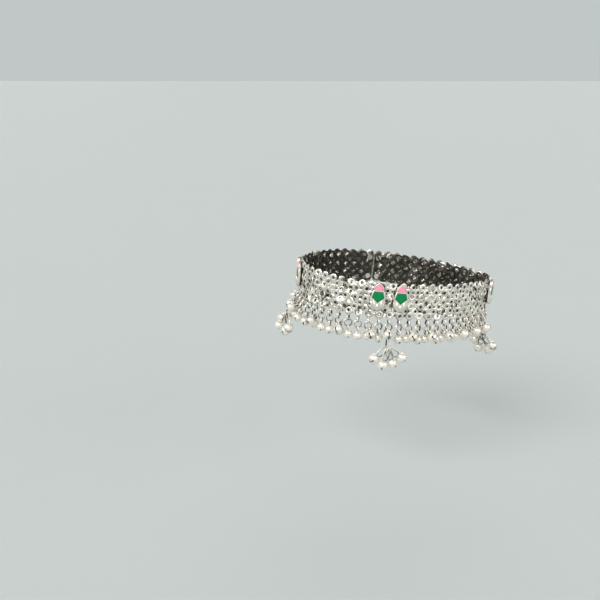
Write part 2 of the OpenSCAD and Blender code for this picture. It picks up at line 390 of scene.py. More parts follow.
@dataclass(frozen=True)
class Silver:
    """Bright silver, darkened in its recesses by tarnish and by painted shade.

    Args:
        name: Name of the material.
        bright: Colour of the polished metal.
        dark: Colour of the tarnish and painted shade.
        polish: Roughness of the polished metal.
        dull: Roughness where the tarnish and painted shade lie.
        from_relief: Relief below which the tarnish and painted shade are whole.
        to_relief: Relief above which the metal is bright and free of tarnish and painted shade.
        metal: How metallic it is, where less is a whiter, frosted silver.
        shade: Brightness of the worn patches, as a share of the bright metal's.
        worn_tint: Tint of those patches.
        patch: Their width.
        patch_edges: Values of their noise between which they fade.
        patch_stray: How far they move the edge of the tarnish and painted shade.
        tone_stray: How far a copy's own tone moves it.
        tone_share: Share of that tone in the copy's brightness, beside the patches.
        grain: Width of the fine scratches.
        grain_rough: How far they change the roughness.
        dents: Depth of the dents.
        dent_patches: Weight of the patches in the dents, beside 1 for the scratches.
        dent_strength: Strength of the dents.
    """

    name: str
    bright: Colour = (0.97, 0.935, 0.865, 1)
    dark: Colour = (0.066, 0.061, 0.050, 1)
    polish: float = 0.2
    dull: float = 0.5
    from_relief: float = 0.3
    to_relief: float = 0.62
    metal: float = 1.0
    shade: float = 0.86
    worn_tint: tuple[float, float, float] = (1, 0.98, 0.93)
    patch: float = 4 * MM
    patch_edges: tuple[float, float] = (0.35, 0.65)
    patch_stray: float = 0.35
    tone_stray: float = 0.12
    tone_share: float = 0.25
    grain: float = 0.35 * MM
    grain_rough: float = 0.12
    dents: float = 0.05 * MM
    dent_patches: float = 1.5
    dent_strength: float = 0.5

    def build(self) -> bpy.types.Material:
        """Makes the material.

        Returns:
            The material.
        """
        shader = Shader(self.name)
        patches = shader.noise(self.patch)
        grain = shader.noise(self.grain, detail=2.0)
        tone = shader.attribute(TONE)
        relief = shader.attribute(RELIEF)
        relief += self.patch_stray * (patches - MIDDLE_NOISE)
        relief += self.tone_stray * (tone - MIDDLE_TONE)
        # Where the relief is low the colour goes to dark: tarnish together with painted shade in recesses,
        # holes and on shaded sides.
        clean_and_unshaded = relief.step(self.from_relief, self.to_relief)
        worn = (*(level * self.shade * tint for level, tint in zip(self.bright, self.worn_tint)), 1)
        shine = patches.step(*self.patch_edges) * (1 - self.tone_share) + tone * self.tone_share
        colour = shader.mix(clean_and_unshaded, self.dark, shader.mix(shine, worn, self.bright))
        rough = self.dull - clean_and_unshaded * (self.dull - self.polish)
        rough += self.grain_rough * (grain - MIDDLE_NOISE)
        normal = shader.bump(grain + self.dent_patches * patches, self.dents, self.dent_strength)
        varied = {"Base Color": colour, "Roughness": rough.clamped(), "Normal": normal}
        return shader.finish({"Metallic": self.metal}, varied)


@dataclass(frozen=True)
class Enamel:
    """Glossy fired enamel with a faint mottle.

    Args:
        name: Name of the material.
        colour: Its main colour.
        deep: Darker colour that it takes towards its edge.
        mottle: Width of the mottle.
        speck: Width of the specks in its gloss.
        crown_share: How much the crown brings out the main colour.
        mottle_share: How much the mottle does.
        held_back: How much of the main colour is held back everywhere.
        ripple: Depth of the ripples.
        ripple_strength: Strength of the ripples.
        polish: Its least roughness.
        speck_rough: How much the specks add to that.
        coat: Weight of the glossy coat.
        coat_rough: Roughness of the coat.
        gloss: Specular level under the coat.
    """

    name: str
    colour: Colour
    deep: Colour
    mottle: float = 1.6 * MM
    speck: float = 0.25 * MM
    crown_share: float = 0.75
    mottle_share: float = 0.5
    held_back: float = 0.1
    ripple: float = 0.06 * MM
    ripple_strength: float = 0.4
    polish: float = 0.24
    speck_rough: float = 0.12
    coat: float = 0.15
    coat_rough: float = 0.06
    gloss: float = 0.2

    def build(self) -> bpy.types.Material:
        """Makes the material.

        Returns:
            The material.
        """
        shader = Shader(self.name)
        cloud = shader.noise(self.mottle, detail=2.0)
        specks = shader.noise(self.speck, detail=1.0)
        relief = shader.attribute(RELIEF)
        toward_crown = relief * self.crown_share + cloud * self.mottle_share - self.held_back
        varied = {
            "Base Color": shader.mix(toward_crown.clamped(), self.deep, self.colour),
            "Roughness": self.polish + self.speck_rough * specks,
            "Normal": shader.bump(cloud, self.ripple, self.ripple_strength),
        }
        constants = {
            "Coat Weight": self.coat,
            "Coat Roughness": self.coat_rough,
            "Specular IOR Level": self.gloss,
        }
        return shader.finish(constants, varied)


@dataclass(frozen=True)
class Paper:
    """Matt pale floor.

    Args:
        name: Name of the material.
        colour: Its colour.
        cloud: Width of its faint clouds.
        shade: Brightness of the clouds' darker parts, as a share of the colour.
        dull: Its roughness.
        gloss: Its specular level.
    """

    name: str
    colour: Colour
    cloud: float = 120 * MM
    shade: float = 0.985
    dull: float = 0.7
    gloss: float = 0.05

    def build(self) -> bpy.types.Material:
        """Makes the material.

        Returns:
            The material.
        """
        shader = Shader(self.name)
        darker = (*(level * self.shade for level in self.colour[:3]), 1)
        varied = {"Base Color": shader.mix(shader.noise(self.cloud), darker, self.colour)}
        return shader.finish({"Roughness": self.dull, "Specular IOR Level": self.gloss}, varied)


MESH_SILVER = Silver(
    "mesh_silver_finish", from_relief=0.3, to_relief=0.64, metal=0.92, shade=0.76, patch=3 * MM
)
# Mostly dark: painted shade, with tarnish, on the inner links, so that the holes of the outer links look
# dark.
INNER_SILVER = Silver("inner_mesh_silver_finish", from_relief=0.72, to_relief=1.15, polish=0.3)
RING_SILVER = Silver(
    "ring_silver_finish", from_relief=0.22, to_relief=0.74, metal=0.62, patch=1.6 * MM
)
BELL_SILVER = Silver(
    "bell_silver_finish", from_relief=0.3, to_relief=0.75, polish=0.24, metal=0.52, patch=1.3 * MM
)
SETTING_SILVER = Silver(
    "setting_silver_finish", from_relief=0.1, to_relief=0.5, polish=0.32, shade=0.94, patch=2 * MM
)
CLASP_SILVER = Silver("plain_silver_finish", from_relief=-1.0, to_relief=-0.5, polish=0.34, shade=0.7)
PINK_ENAMEL = Enamel("pink_enamel_finish", (1.0, 0.36, 0.50, 1), (0.78, 0.17, 0.30, 1))
GREEN_ENAMEL = Enamel("green_enamel_finish", (0.0, 0.235, 0.068, 1), (0.0, 0.145, 0.042, 1))
FLOOR_PAPER = Paper("floor_paper", (0.562, 0.602, 0.597, 1))


# Making meshes


def mesh_from(bm: bmesh.types.BMesh, name: str, smooth: bool = True) -> bpy.types.Mesh:
    """Turns a bmesh into a mesh and frees it.

    Args:
        bm: The bmesh.
        name: Name of the mesh.
        smooth: Whether its faces are shaded smooth.

    Returns:
        The mesh, with a relief of 1 and the middle tone all over.
    """
    for face in bm.faces:
        face.smooth = smooth
    made = bpy.data.meshes.new(name)
    bm.to_mesh(made)
    bm.free()
    set_points(made, RELIEF, lambda point: 1.0)
    set_points(made, TONE, lambda point: MIDDLE_TONE)
    return made


def set_points(mesh: bpy.types.Mesh, name: str, value: Callable[[Vector], float]) -> None:
    """Stores a number at each point of a mesh.

    Args:
        mesh: The mesh.
        name: Name of the attribute.
        value: Gives the number from the point's place.
    """
    held = mesh.attributes.get(name) or mesh.attributes.new(name, "FLOAT", "POINT")
    held.data.foreach_set("value", [value(vertex.co) for vertex in mesh.vertices])


def ring_mesh(
    name: str,
    radius: float,
    width: float,
    depth: float,
    steps: int,
    sides: int,
    creases: float | None = None,
) -> bpy.types.Mesh:
    """Wire ring round the X axis, whose wire has a flat towards +X.

    Args:
        name: Name of the mesh.
        radius: Radius to the middle of the wire.
        width: Width of the wire along the radius.
        depth: Width of the wire along X.
        steps: Sides of the ring.
        sides: Sides of the wire.
        creases: Angle past which an edge is sharp, or None.

    Returns:
        The mesh.
    """
    bm = bmesh.new()
    half_side = math.pi / sides
    profile = bmesh.ops.create_circle(bm, cap_ends=False, radius=0.5 / math.cos(half_side), segments=sides)
    stand = (
        Matrix.Translation((0, 0, radius))
        @ Matrix.Rotation(QUARTER_TURN, 4, "X")
        @ Matrix.Diagonal((depth, width, 1, 1))
        @ Matrix.Rotation(half_side - QUARTER_TURN, 4, "Z")
    )
    bmesh.ops.transform(bm, matrix=stand, verts=profile["verts"])
    bmesh.ops.spin(
        bm, geom=bm.verts[:] + bm.edges[:], cent=(0, 0, 0), axis=X_AXIS,
        angle=math.tau, steps=steps, use_merge=True,
    )
    bmesh.ops.recalc_face_normals(bm, faces=bm.faces[:])
    made = mesh_from(bm, name)
    if creases is not None:
        made.set_sharp_from_angle(angle=creases)
    return made


def shade_wire(mesh: bpy.types.Mesh) -> bpy.types.Mesh:
    """Gives a wire loop in the YZ plane its relief: 0 on the side towards its middle, 1 outside, so that its
    inner side takes painted shade and tarnish.

    Args:
        mesh: The loop, which may be longer along Z than along Y.

    Returns:
        The same mesh.
    """
    heights = [vertex.co.z for vertex in mesh.vertices]
    half = max(abs(vertex.co.y) for vertex in mesh.vertices)
    low, high = min(heights) + half, max(heights) - half
    values = []
    for vertex in mesh.vertices:
        middle = Vector((0, 0, max(low, min(high, vertex.co.z))))
        # Low on the inner side of the loop: painted shade, with tarnish.
        values.append(0.5 + 0.5 * vertex.normal.dot((vertex.co - middle).normalized()))
    mesh.attributes[RELIEF].data.foreach_set("value", values)
    return mesh


def round_wire_ring(name: str, radius: float, wire: float, steps: int, sides: int) -> bpy.types.Mesh:
    """Ring of round wire about the X axis, with its relief.

    Args:
        name: Name of the mesh.
        radius: Radius to the middle of the wire.
        wire: Diameter of the wire.
        steps: Sides of the ring.
        sides: Sides of the wire.

    Returns:
        The ring.
    """
    return shade_wire(ring_mesh(name, radius, wire, wire, steps, sides))


def ball_bmesh(
    radius: float, facets: tuple[int, int], squat: tuple[float, float, float] = (1, 1, 1)
) -> bmesh.types.BMesh:
    """Ball about the origin.

    Args:
        radius: Its radius.
        facets: Facets round it, and from pole to pole.
        squat: Scales of the ball along X, Y and Z.

    Returns:
        The ball.
    """
    bm = bmesh.new()
    squashed = Matrix.Diagonal((*squat, 1))
    bmesh.ops.create_uvsphere(
        bm, u_segments=facets[0], v_segments=facets[1], radius=radius, matrix=squashed
    )
    return bm


def slab(
    outline: Sequence[Vector], low: float, high: float
) -> tuple[bmesh.types.BMesh, bmesh.types.BMFace]:
    """Upright block on an outline.

    Args:
        outline: The outline, anticlockwise.
        low: Height of its foot.
        high: Height of its top.

    Returns:
        The block, and its top face.
    """
    bm = bmesh.new()
    foot = bm.faces.new([bm.verts.new((*point, low)) for point in outline])
    grown = bmesh.ops.extrude_face_region(bm, geom=[foot], use_keep_orig=True)["geom"]
    lifted = [item for item in grown if isinstance(item, bmesh.types.BMVert)]
    bmesh.ops.translate(bm, vec=(0, 0, high - low), verts=lifted)
    top = next(item for item in grown if isinstance(item, bmesh.types.BMFace))
    bmesh.ops.recalc_face_normals(bm, faces=bm.faces[:])
    return bm, top


def round_edges(bm: bmesh.types.BMesh, edges: Sequence[bmesh.types.BMEdge], width: float) -> None:
    """Rounds edges of a mesh.

    Args:
        bm: The mesh.
        edges: The edges.
        width: Width of the rounding on each side of an edge.
    """
    bmesh.ops.bevel(
        bm, geom=edges, offset=width, affect="EDGES", segments=ROUND_STEPS,
        profile=ROUND_PROFILE, material=NO_MATERIAL,
    )


class WireBender:
    """Bends one round wire in the YZ plane, step by step, until it closes on itself."""

    def __init__(self, thickness: float, sides: int, start: Vector) -> None:
        """Starts with the wire's end facing along +Y.

        Args:
            thickness: Diameter of the wire.
            sides: Its sides.
            start: Where it starts.
        """
        self.bm = bmesh.new()
        end = bmesh.ops.create_circle(self.bm, cap_ends=False, radius=thickness / 2, segments=sides)
        stand = Matrix.Translation(start) @ Matrix.Rotation(-QUARTER_TURN, 4, "X")
        bmesh.ops.transform(self.bm, matrix=stand, verts=end["verts"])
        self.edges = self.bm.edges[:]
        self.verts = self.bm.verts[:]
        self.place = start.copy()
        self.heading = Y_AXIS.copy()

    def straight(self, length: float) -> "WireBender":
        """Runs on straight.

        Args:
            length: How far it runs.

        Returns:
            The bender, so that steps can be chained.
        """
        grown = bmesh.ops.extrude_edge_only(self.bm, edges=self.edges)["geom"]
        self.verts = [item for item in grown if isinstance(item, bmesh.types.BMVert)]
        ends = set(self.verts)
        lines = [item for item in grown if isinstance(item, bmesh.types.BMEdge)]
        self.edges = [line for line in lines if set(line.verts) <= ends]
        bmesh.ops.translate(self.bm, vec=self.heading * length, verts=self.verts)
        self.place += self.heading * length
        return self

    def bend(self, radius: float, angle: float, steps: int) -> "WireBender":
        """Turns left, seen from +X, round an arc.

        Args:
            radius: Radius of the arc, to the middle of the wire.
            angle: How far it turns.
            steps: Straight steps that the arc is made of.

        Returns:
            The bender, so that steps can be chained.
        """
        to_left = X_AXIS.cross(self.heading)
        centre = self.place + to_left * radius
        grown = bmesh.ops.spin(
            self.bm, geom=self.verts + self.edges, cent=centre, axis=X_AXIS,
            angle=angle, steps=steps,
        )["geom_last"]
        self.verts = [item for item in grown if isinstance(item, bmesh.types.BMVert)]
        self.edges = [item for item in grown if isinstance(item, bmesh.types.BMEdge)]
        turned = Matrix.Rotation(angle, 3, X_AXIS)
        self.place = centre + turned @ (self.place - centre)
        self.heading = turned @ self.heading
        return self

    def close(self, name: str) -> bpy.types.Mesh:
        """Joins the wire's two ends.

        Args:
            name: Name of the mesh.

        Returns:
            The closed wire, with its relief.
        """
        bmesh.ops.remove_doubles(self.bm, verts=self.bm.verts[:], dist=WELD_REACH)
        bmesh.ops.recalc_face_normals(self.bm, faces=self.bm.faces[:])
        return shade_wire(mesh_from(self.bm, name))


def carved(body: bpy.types.Mesh, cutter: bpy.types.Mesh, kept: Cut, name: str) -> bpy.types.Mesh:
    """Cuts one closed mesh with another.

    Args:
        body: The mesh that is cut.
        cutter: The mesh that cuts it.
        kept: Whether what lies outside the cutter is kept, or what lies inside it.
        name: Name of the result.

    Returns:
        The cut mesh.
    """
    holders = [bpy.data.objects.new(name, mesh) for mesh in (body, cutter)]
    for holder in holders:
        bpy.context.scene.collection.objects.link(holder)
    cut = holders[0].modifiers.new("cut", "BOOLEAN")
    cut.object = holders[1]
    cut.operation = kept.value
    cut.solver = "EXACT"
    seen = holders[0].evaluated_get(bpy.context.evaluated_depsgraph_get())
    result = bpy.data.meshes.new_from_object(seen)
    result.name = name
    for holder in holders:
        bpy.data.objects.remove(holder)
    return result


class Gathering:
    """Gathers placed copies of small meshes into one piece."""

    def __init__(self) -> None:
        """Starts empty."""
        self.bm = bmesh.new()

    def add(
        self,
        mesh: bpy.types.Mesh,
        place: Matrix = Matrix.Identity(4),
        tone: float = MIDDLE_TONE,
        pose: Matrix | None = None,
        relief: Callable[[Vector], float] | None = None,
    ) -> None:
        """Adds a copy of a mesh.

        Args:
            mesh: The mesh, which stays as it is.
            place: Where the copy goes.
            tone: Number between 0 and 1 that sets this copy's shade apart.
            pose: How the copy is turned before it is placed.
            relief: Gives a posed point's height, by which the mesh's own relief is multiplied.
        """
        copy = mesh.copy()
        if pose is not None:
            copy.transform(pose)
        if relief is not None:
            for vertex, held in zip(copy.vertices, copy.attributes[RELIEF].data):
                held.value *= relief(vertex.co)
        set_points(copy, TONE, lambda point: tone)
        copy.transform(place)
        self.bm.from_mesh(copy)
        bpy.data.meshes.remove(copy)

    def mesh(self, name: str) -> bpy.types.Mesh:
        """Ends the gathering.

        Args:
            name: Name of the mesh.

        Returns:
            What was gathered, as one mesh.
        """
        made = bpy.data.meshes.new(name)
        self.bm.to_mesh(made)
        self.bm.free()
        return made


def placed(mesh: bpy.types.Mesh, place: Matrix, tone: float, name: str) -> bpy.types.Mesh:
    """Copies a mesh to its place.

    Args:
        mesh: The mesh, which stays as it is.
        place: Where the copy goes.
        tone: Number between 0 and 1 that sets the copy's shade apart.
        name: Name of the copy.

    Returns:
        The copy.
    """
    single = Gathering()
    single.add(mesh, place, tone)
    return single.mesh(name)


def show(
    mesh: bpy.types.Mesh,
    material: bpy.types.Material,
    slot: str,
    replaced: Sequence[str],
) -> bpy.types.Object:
    """slot: Name of the record's material slot for this piece; not used.
        replaced: CAD nodes that it stands for.

    Returns:
        The piece.
    """
    piece = bpy.data.objects.new(mesh.name, mesh)
    bpy.context.scene.collection.objects.link(piece)
    mesh.materials.clear()
    mesh.materials.append(material)
    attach(piece, BODY)
    if replaced:
        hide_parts(*replaced)
    triangles = sum(len(face.vertices) - 2 for face in mesh.polygons)
    LOG.info("%s: %d triangles, replaces %s", mesh.name, triangles, list(replaced))
    return piece


# The mesh band


@dataclass(frozen=True)
class LinkLayer:
    """Rows of links that lie at one depth in the mesh.

    Args:
        radius: Radius of a link, to the middle of its wire.
        width: Width of the wire along the radius.
        depth: Width of the wire through the mesh.
        steps: Sides of a link.
        sides: Sides of its wire.
        outwards: How far out of the middle of the mesh the links lie.
        slide: Shift along the mesh, in stations.
        rows: Rows of links.
        tilt: Tilt of the links, one row one way and the next the other.
        hole_shade: Share of its relief that a link keeps at the edge of its hole, darkening it there with
            painted shade and tarnish.
        edge_shade: Share that it keeps at its outer edge, with the same painted shade.
        crease: Angle past which an edge of a link is sharp.
    """

    radius: float
    width: float
    depth: float
    steps: int
    sides: int
    outwards: float
    slide: float
    rows: int
    tilt: float
    hole_shade: float = 1.0
    edge_shade: float = 1.0
    crease: float = math.radians(40)

    def link(self) -> bpy.types.Mesh:
        """Makes one link.

        Returns:
            The link, about the X axis, with its own relief.
        """
        made = ring_mesh("link", self.radius, self.width, self.depth, self.steps, self.sides, self.crease)
        set_points(made, RELIEF, self.own_relief)
        return made

    def own_relief(self, point: Vector) -> float:
        """Darkens a link towards the edges of its wire, with painted shade and tarnish.

        Args:
            point: A point of the link.

        Returns:
            The relief there, which is 1 over the middle half of the wire.
        """
        off = (math.hypot(point.y, point.z) - self.radius) / (0.5 * self.width)
        # Painted shade and tarnish towards the edges of the wire.
        edge = self.edge_shade if off > 0 else self.hole_shade
        return 1 - (1 - edge) * min(1.0, max(0.0, 2 * abs(off) - 1))


@dataclass
class MeshBand:
    """The woven band: a bright outer layer of links over an inner one darkened with painted shade and
    tarnish, and the eyelets.

    Args:
        oval: The line that it follows.
        thickness: Its thickness.
        row_step: Height from one row of links to the next.
        outer: The outer links.
        inner: The inner links.
        joint_radius: Radius of the solder joints between the outer links.
        joint_squat: Their thickness through the mesh, as a share of their width.
        joint_facets: Facets round a joint, and from pole to pole.
        joint_share: Share of the gaps between those links that a joint fills.
        joint_outwards: How far out of the middle of the mesh the joints lie.
        eyelet_radius: Radius of an eyelet.
        eyelet_height: Height of the eyelets' middles.
        eyelet_steps: Sides of an eyelet.
        wire: Diameter of the eyelets' wire.
        wire_sides: Sides of that wire.
        split_station: Where the band is open under the clasp.
        split_side: How far from there, in stations, the small links at both ends lie.
        split_scale: Size of those links beside the others.
        jitter_tilt: How far a link's tilt strays.
        jitter_twist: How far a link's twist strays.
        jitter_place: How far a link strays from its place.
        seed: Seed of the straying.
    """

    oval: Oval = OVAL
    thickness: float = 2.2 * MM
    row_step: float = 2.35 * MM
    outer: LinkLayer = LinkLayer(
        radius=1.27 * MM, width=1.4 * MM, depth=0.62 * MM, steps=16, sides=6,
        outwards=0.3 * MM, slide=0.0, rows=7, tilt=math.radians(7), hole_shade=0.05, edge_shade=0.6,
    )
    inner: LinkLayer = LinkLayer(
        radius=2.0 * MM, width=1.0 * MM, depth=0.5 * MM, steps=12, sides=4,
        outwards=-0.6 * MM, slide=0.25, rows=6, tilt=math.radians(10),
    )
    joint_radius: float = 0.66 * MM
    joint_squat: float = 0.6
    joint_facets: tuple[int, int] = (8, 6)
    joint_share: float = 0.6
    joint_outwards: float = 0.32 * MM
    eyelet_radius: float = EYELET_RADIUS
    eyelet_height: float = EYELET_HEIGHT
    eyelet_steps: int = 16
    wire: float = WIRE
    wire_sides: int = 6
    split_station: float = 14.5
    split_side: float = 0.31
    split_scale: float = 0.5
    jitter_tilt: float = math.radians(10)
    jitter_twist: float = math.radians(12)
    jitter_place: float = 0.17 * MM
    seed: int = 11

    def outer_relief(self, point: Vector) -> float:
        """Height of a point in the mesh, from 0 inside to 1 outside, which darkens its inward side with
        painted shade and tarnish.
        """
        return point.x / self.thickness + 0.5

    def inner_relief(self, point: Vector) -> float:
        """Height of a point in the inner links, from 0 on their inward side to 1 on the outward one; this
        sets their painted shade and tarnish.
        """
        return 0.5 + 0.5 * (point.x - self.inner.outwards) / self.inner.depth

    def lay(
        self, layer: LinkLayer, relief: Callable[[Vector], float], draws: random.Random, name: str
    ) -> bpy.types.Mesh:
        """Lays all the links of a layer.

        Args:
            layer: The layer.
            relief: Gives a point's height in the layer.
            draws: Where the straying comes from.
            name: Name of the mesh.

        Returns:
            The links as one mesh.
        """
        link = layer.link()
        gathered = Gathering()
        for row in range(layer.rows):
            tilt = layer.tilt if row % 2 else -layer.tilt
            for index in range(self.oval.stations):
                for station, scale in self.split_up(index + 0.5 * (row % 2) + layer.slide):
                    pose = (
                        Matrix.Translation((layer.outwards, 0, 0))
                        @ Matrix.Rotation(tilt + draws.gauss(0, self.jitter_tilt), 4, "Y")
                        @ Matrix.Rotation(draws.gauss(0, self.jitter_twist), 4, "Z")
                        @ Matrix.Rotation(draws.uniform(0, math.tau), 4, "X")
                        @ Matrix.Diagonal((1, scale, scale, 1))
                    )
                    height = self.row_height(row, layer.rows) + draws.uniform(-1, 1) * self.jitter_place
                    place = self.oval.on_mesh(station, height)
                    gathered.add(link, place, draws.random(), pose, relief)
        bpy.data.meshes.remove(link)
        return gathered.mesh(name)

    def row_height(self, row: int, rows: int) -> float:
        """Height of a row of links above the middle of the mesh."""
        return (row - (rows - 1) / 2) * self.row_step

    def split_up(self, station: float) -> list[tuple[float, float]]:
        """Parts a link that would cross the split into two small ones.

        Args:
            station: Where the link would lie.

        Returns:
            The station and the scale of each link that lies there.
        """
        if abs(station - self.split_station) >= self.split_side:
            return [(station, 1.0)]
        return [(self.split_station + side * self.split_side, self.split_scale) for side in (-1, 1)]

    def joints(self, draws: random.Random, name: str) -> bpy.types.Mesh:
        """Makes the solder joints that fill most gaps between the outer links.

        Args:
            draws: What picks the gaps that a joint fills.
            name: Name of the mesh.

        Returns:
            The joints as one mesh.
        """
        joint = mesh_from(
            ball_bmesh(self.joint_radius, self.joint_facets, (self.joint_squat, 1, 1)), "joint", smooth=False
        )
        gathered = Gathering()
        for row in range(self.outer.rows):
            height = self.row_height(row, self.outer.rows)
            for index in range(self.oval.stations):
                station = index + 0.5 - 0.5 * (row % 2)
                if station == self.split_station or draws.random() > self.joint_share:
                    continue
                turn = Matrix.Rotation(draws.uniform(0, math.tau), 4, "X")
                pose = Matrix.Translation((self.joint_outwards, 0, 0)) @ turn
                gathered.add(joint, self.oval.on_mesh(station, height), draws.random(), pose)
        bpy.data.meshes.remove(joint)
        return gathered.mesh(name)

    def eyelets(self, name: str) -> bpy.types.Mesh:
        """Makes the row of eyelets under the band, each edge-on in it.

        Args:
            name: Name of the mesh.

        Returns:
            The eyelets as one mesh.
        """
        eyelet = round_wire_ring("eyelet", self.eyelet_radius, self.wire, self.eyelet_steps, self.wire_sides)
        eyelet.transform(Matrix.Rotation(QUARTER_TURN, 4, "Z"))
        gathered = Gathering()
        for station in range(self.oval.stations):
            gathered.add(eyelet, self.oval.on_mesh(station, self.eyelet_height))
        bpy.data.meshes.remove(eyelet)
        return gathered.mesh(name)

    def build(self) -> list[bpy.types.Object]:
        """Builds and dresses the band.

        Returns:
            Its pieces.
        """
        draws = random.Random(self.seed)
        bright = MESH_SILVER.build()
        outer = self.lay(self.outer, self.outer_relief, draws, "outer_links")
        inner = self.lay(self.inner, self.inner_relief, draws, "inner_links")
        parts = (
            (outer, bright),
            (inner, INNER_SILVER.build()),
            (self.joints(draws, "link_joints"), bright),
            (self.eyelets("eyelets"), bright),
        )
        return [show(mesh, finish, "mesh_silver", ["mesh_band"]) for mesh, finish in parts]


# The fringe


@dataclass(frozen=True)
class Seat:
    """Where a bell hangs on its ring.

    Args:
        round: How far round the ring, in degrees.
        back: How far it turns back upright.
        tip: How far it tips outwards.
    """

    round: float
    back: float
    tip: float

    def place(self, ring_radius: float) -> Matrix:
        """Frame of the bell's loop on the wire of the ring."""
        return (
            Matrix.Rotation(math.radians(self.round), 4, "X")
            @ Matrix.Translation((0, 0, -ring_radius))
            @ Matrix.Rotation(-math.radians(self.back), 4, "X")
            @ Matrix.Rotation(-math.radians(self.tip), 4, "Y")
        )


@dataclass
class Bell:
    """Hollow ball, faceted all over, with a slit underneath that ends in two round holes.

    Args:
        radius: Radius of the ball.
        wall: Thickness of its wall.
        slit: Width of the slit.
        reach: Half the slit's length, as a share of the radius.
        hole: Radius of the round holes at the slit's ends.
        hole_reach: How far out these holes lie, as a share of the radius.
        hole_sides: Sides of these holes.
        facets: Facets round the ball, and from pole to pole.
        hollow_facets: Facets round its hollow, and from pole to pole.
        clean_depth: Share of the wall over which its relief rises to 1.
        pole_start: Height where the ball begins to darken towards a pole, as a share of the radius.
    """

    radius: float = 2.25 * MM
    wall: float = 0.35 * MM
    slit: float = 0.45 * MM
    reach: float = 0.8
    hole: float = 0.46 * MM
    hole_reach: float = 0.88
    hole_sides: int = 10
    facets: tuple[int, int] = (16, 10)
    hollow_facets: tuple[int, int] = (12, 8)
    clean_depth: float = 0.9
    # pole_start: Height where painted shade begins to darken the ball towards a pole, as a share of the
    # radius.
    pole_start: float = 0.5

    def faceted_ball(self) -> bmesh.types.BMesh:
        """Cuts a ball all over with diamond facets, by turning every second ring half a step.

        Returns:
            The ball.
        """
        facets_round, facets_up = self.facets
        bm = ball_bmesh(self.radius, self.facets)
        half_step = Matrix.Rotation(math.pi / facets_round, 3, "Z")
        for vertex in bm.verts:
            ring = round(math.acos(max(-1, min(1, vertex.co.z / self.radius))) * facets_up / math.pi)
            if ring % 2:
                vertex.co = half_step @ vertex.co
        bmesh.ops.triangulate(bm, faces=bm.faces[:])
        return bm

    def shell(self) -> bpy.types.Mesh:
        """Gives the faceted ball a round hollow.

        Returns:
            The hollow ball, whose inner wall faces inwards.
        """
        bm = self.faceted_ball()
        inside = bmesh.ops.create_uvsphere(
            bm, u_segments=self.hollow_facets[0], v_segments=self.hollow_facets[1],
            radius=self.radius - self.wall,
        )
        faces = {face for vertex in inside["verts"] for face in vertex.link_faces}
        bmesh.ops.reverse_faces(bm, faces=list(faces))
        return mesh_from(bm, "shell", smooth=False)

    def slot(self) -> bpy.types.Mesh:
        """Makes the cutter of the slit.

        Returns:
            A block round the ball's lower pole.
        """
        bm = bmesh.new()
        size = Matrix.Diagonal((self.slit, 2 * self.reach * self.radius, self.radius, 1))
        bmesh.ops.create_cube(bm, size=1, matrix=Matrix.Translation((0, 0, -self.radius)) @ size)
        return mesh_from(bm, "slit", smooth=False)

    def drill(self, side: int) -> bpy.types.Mesh:
        """Makes the cutter of the round hole at one end of the slit.

        Args:
            side: -1 for one end and 1 for the other.

        Returns:
            A rod that points at the ball's middle.
        """
        bm = bmesh.new()
        towards = Vector((0, side * self.hole_reach, -math.sqrt(1 - self.hole_reach**2)))
        aim = Z_AXIS.rotation_difference(towards).to_matrix().to_4x4()
        bmesh.ops.create_cone(
            bm, cap_ends=True, segments=self.hole_sides, radius1=self.hole, radius2=self.hole,
            depth=self.radius, matrix=Matrix.Translation(towards * self.radius) @ aim,
        )
        return mesh_from(bm, "drill", smooth=False)

    def ball(self) -> bpy.types.Mesh:
        """Cuts the slit and its holes out of the hollow ball.

        Returns:
            The finished ball, about its own middle.
        """
        made = carved(self.shell(), self.slot(), Cut.OUTSIDE, "ball")
        for side in (-1, 1):
            made = carved(made, self.drill(side), Cut.OUTSIDE, "ball")
        set_points(made, RELIEF, self.relief)
        return made

    def relief(self, point: Vector) -> float:
        """Paints shade and tarnish on the ball.

        Args:
            point: A point of the ball.

        Returns:
            The relief there, which sets its painted shade and tarnish: low inside and at the edges of the
            holes, and lower towards the poles.
        """
        depth = (point.length - self.radius + self.wall) / (self.clean_depth * self.wall)
        pole = abs(point.z) / self.radius
        # Dark inside the hollow and towards both poles: painted shade, with tarnish.
        return min(depth, 1.0) - max(0.0, pole - self.pole_start)


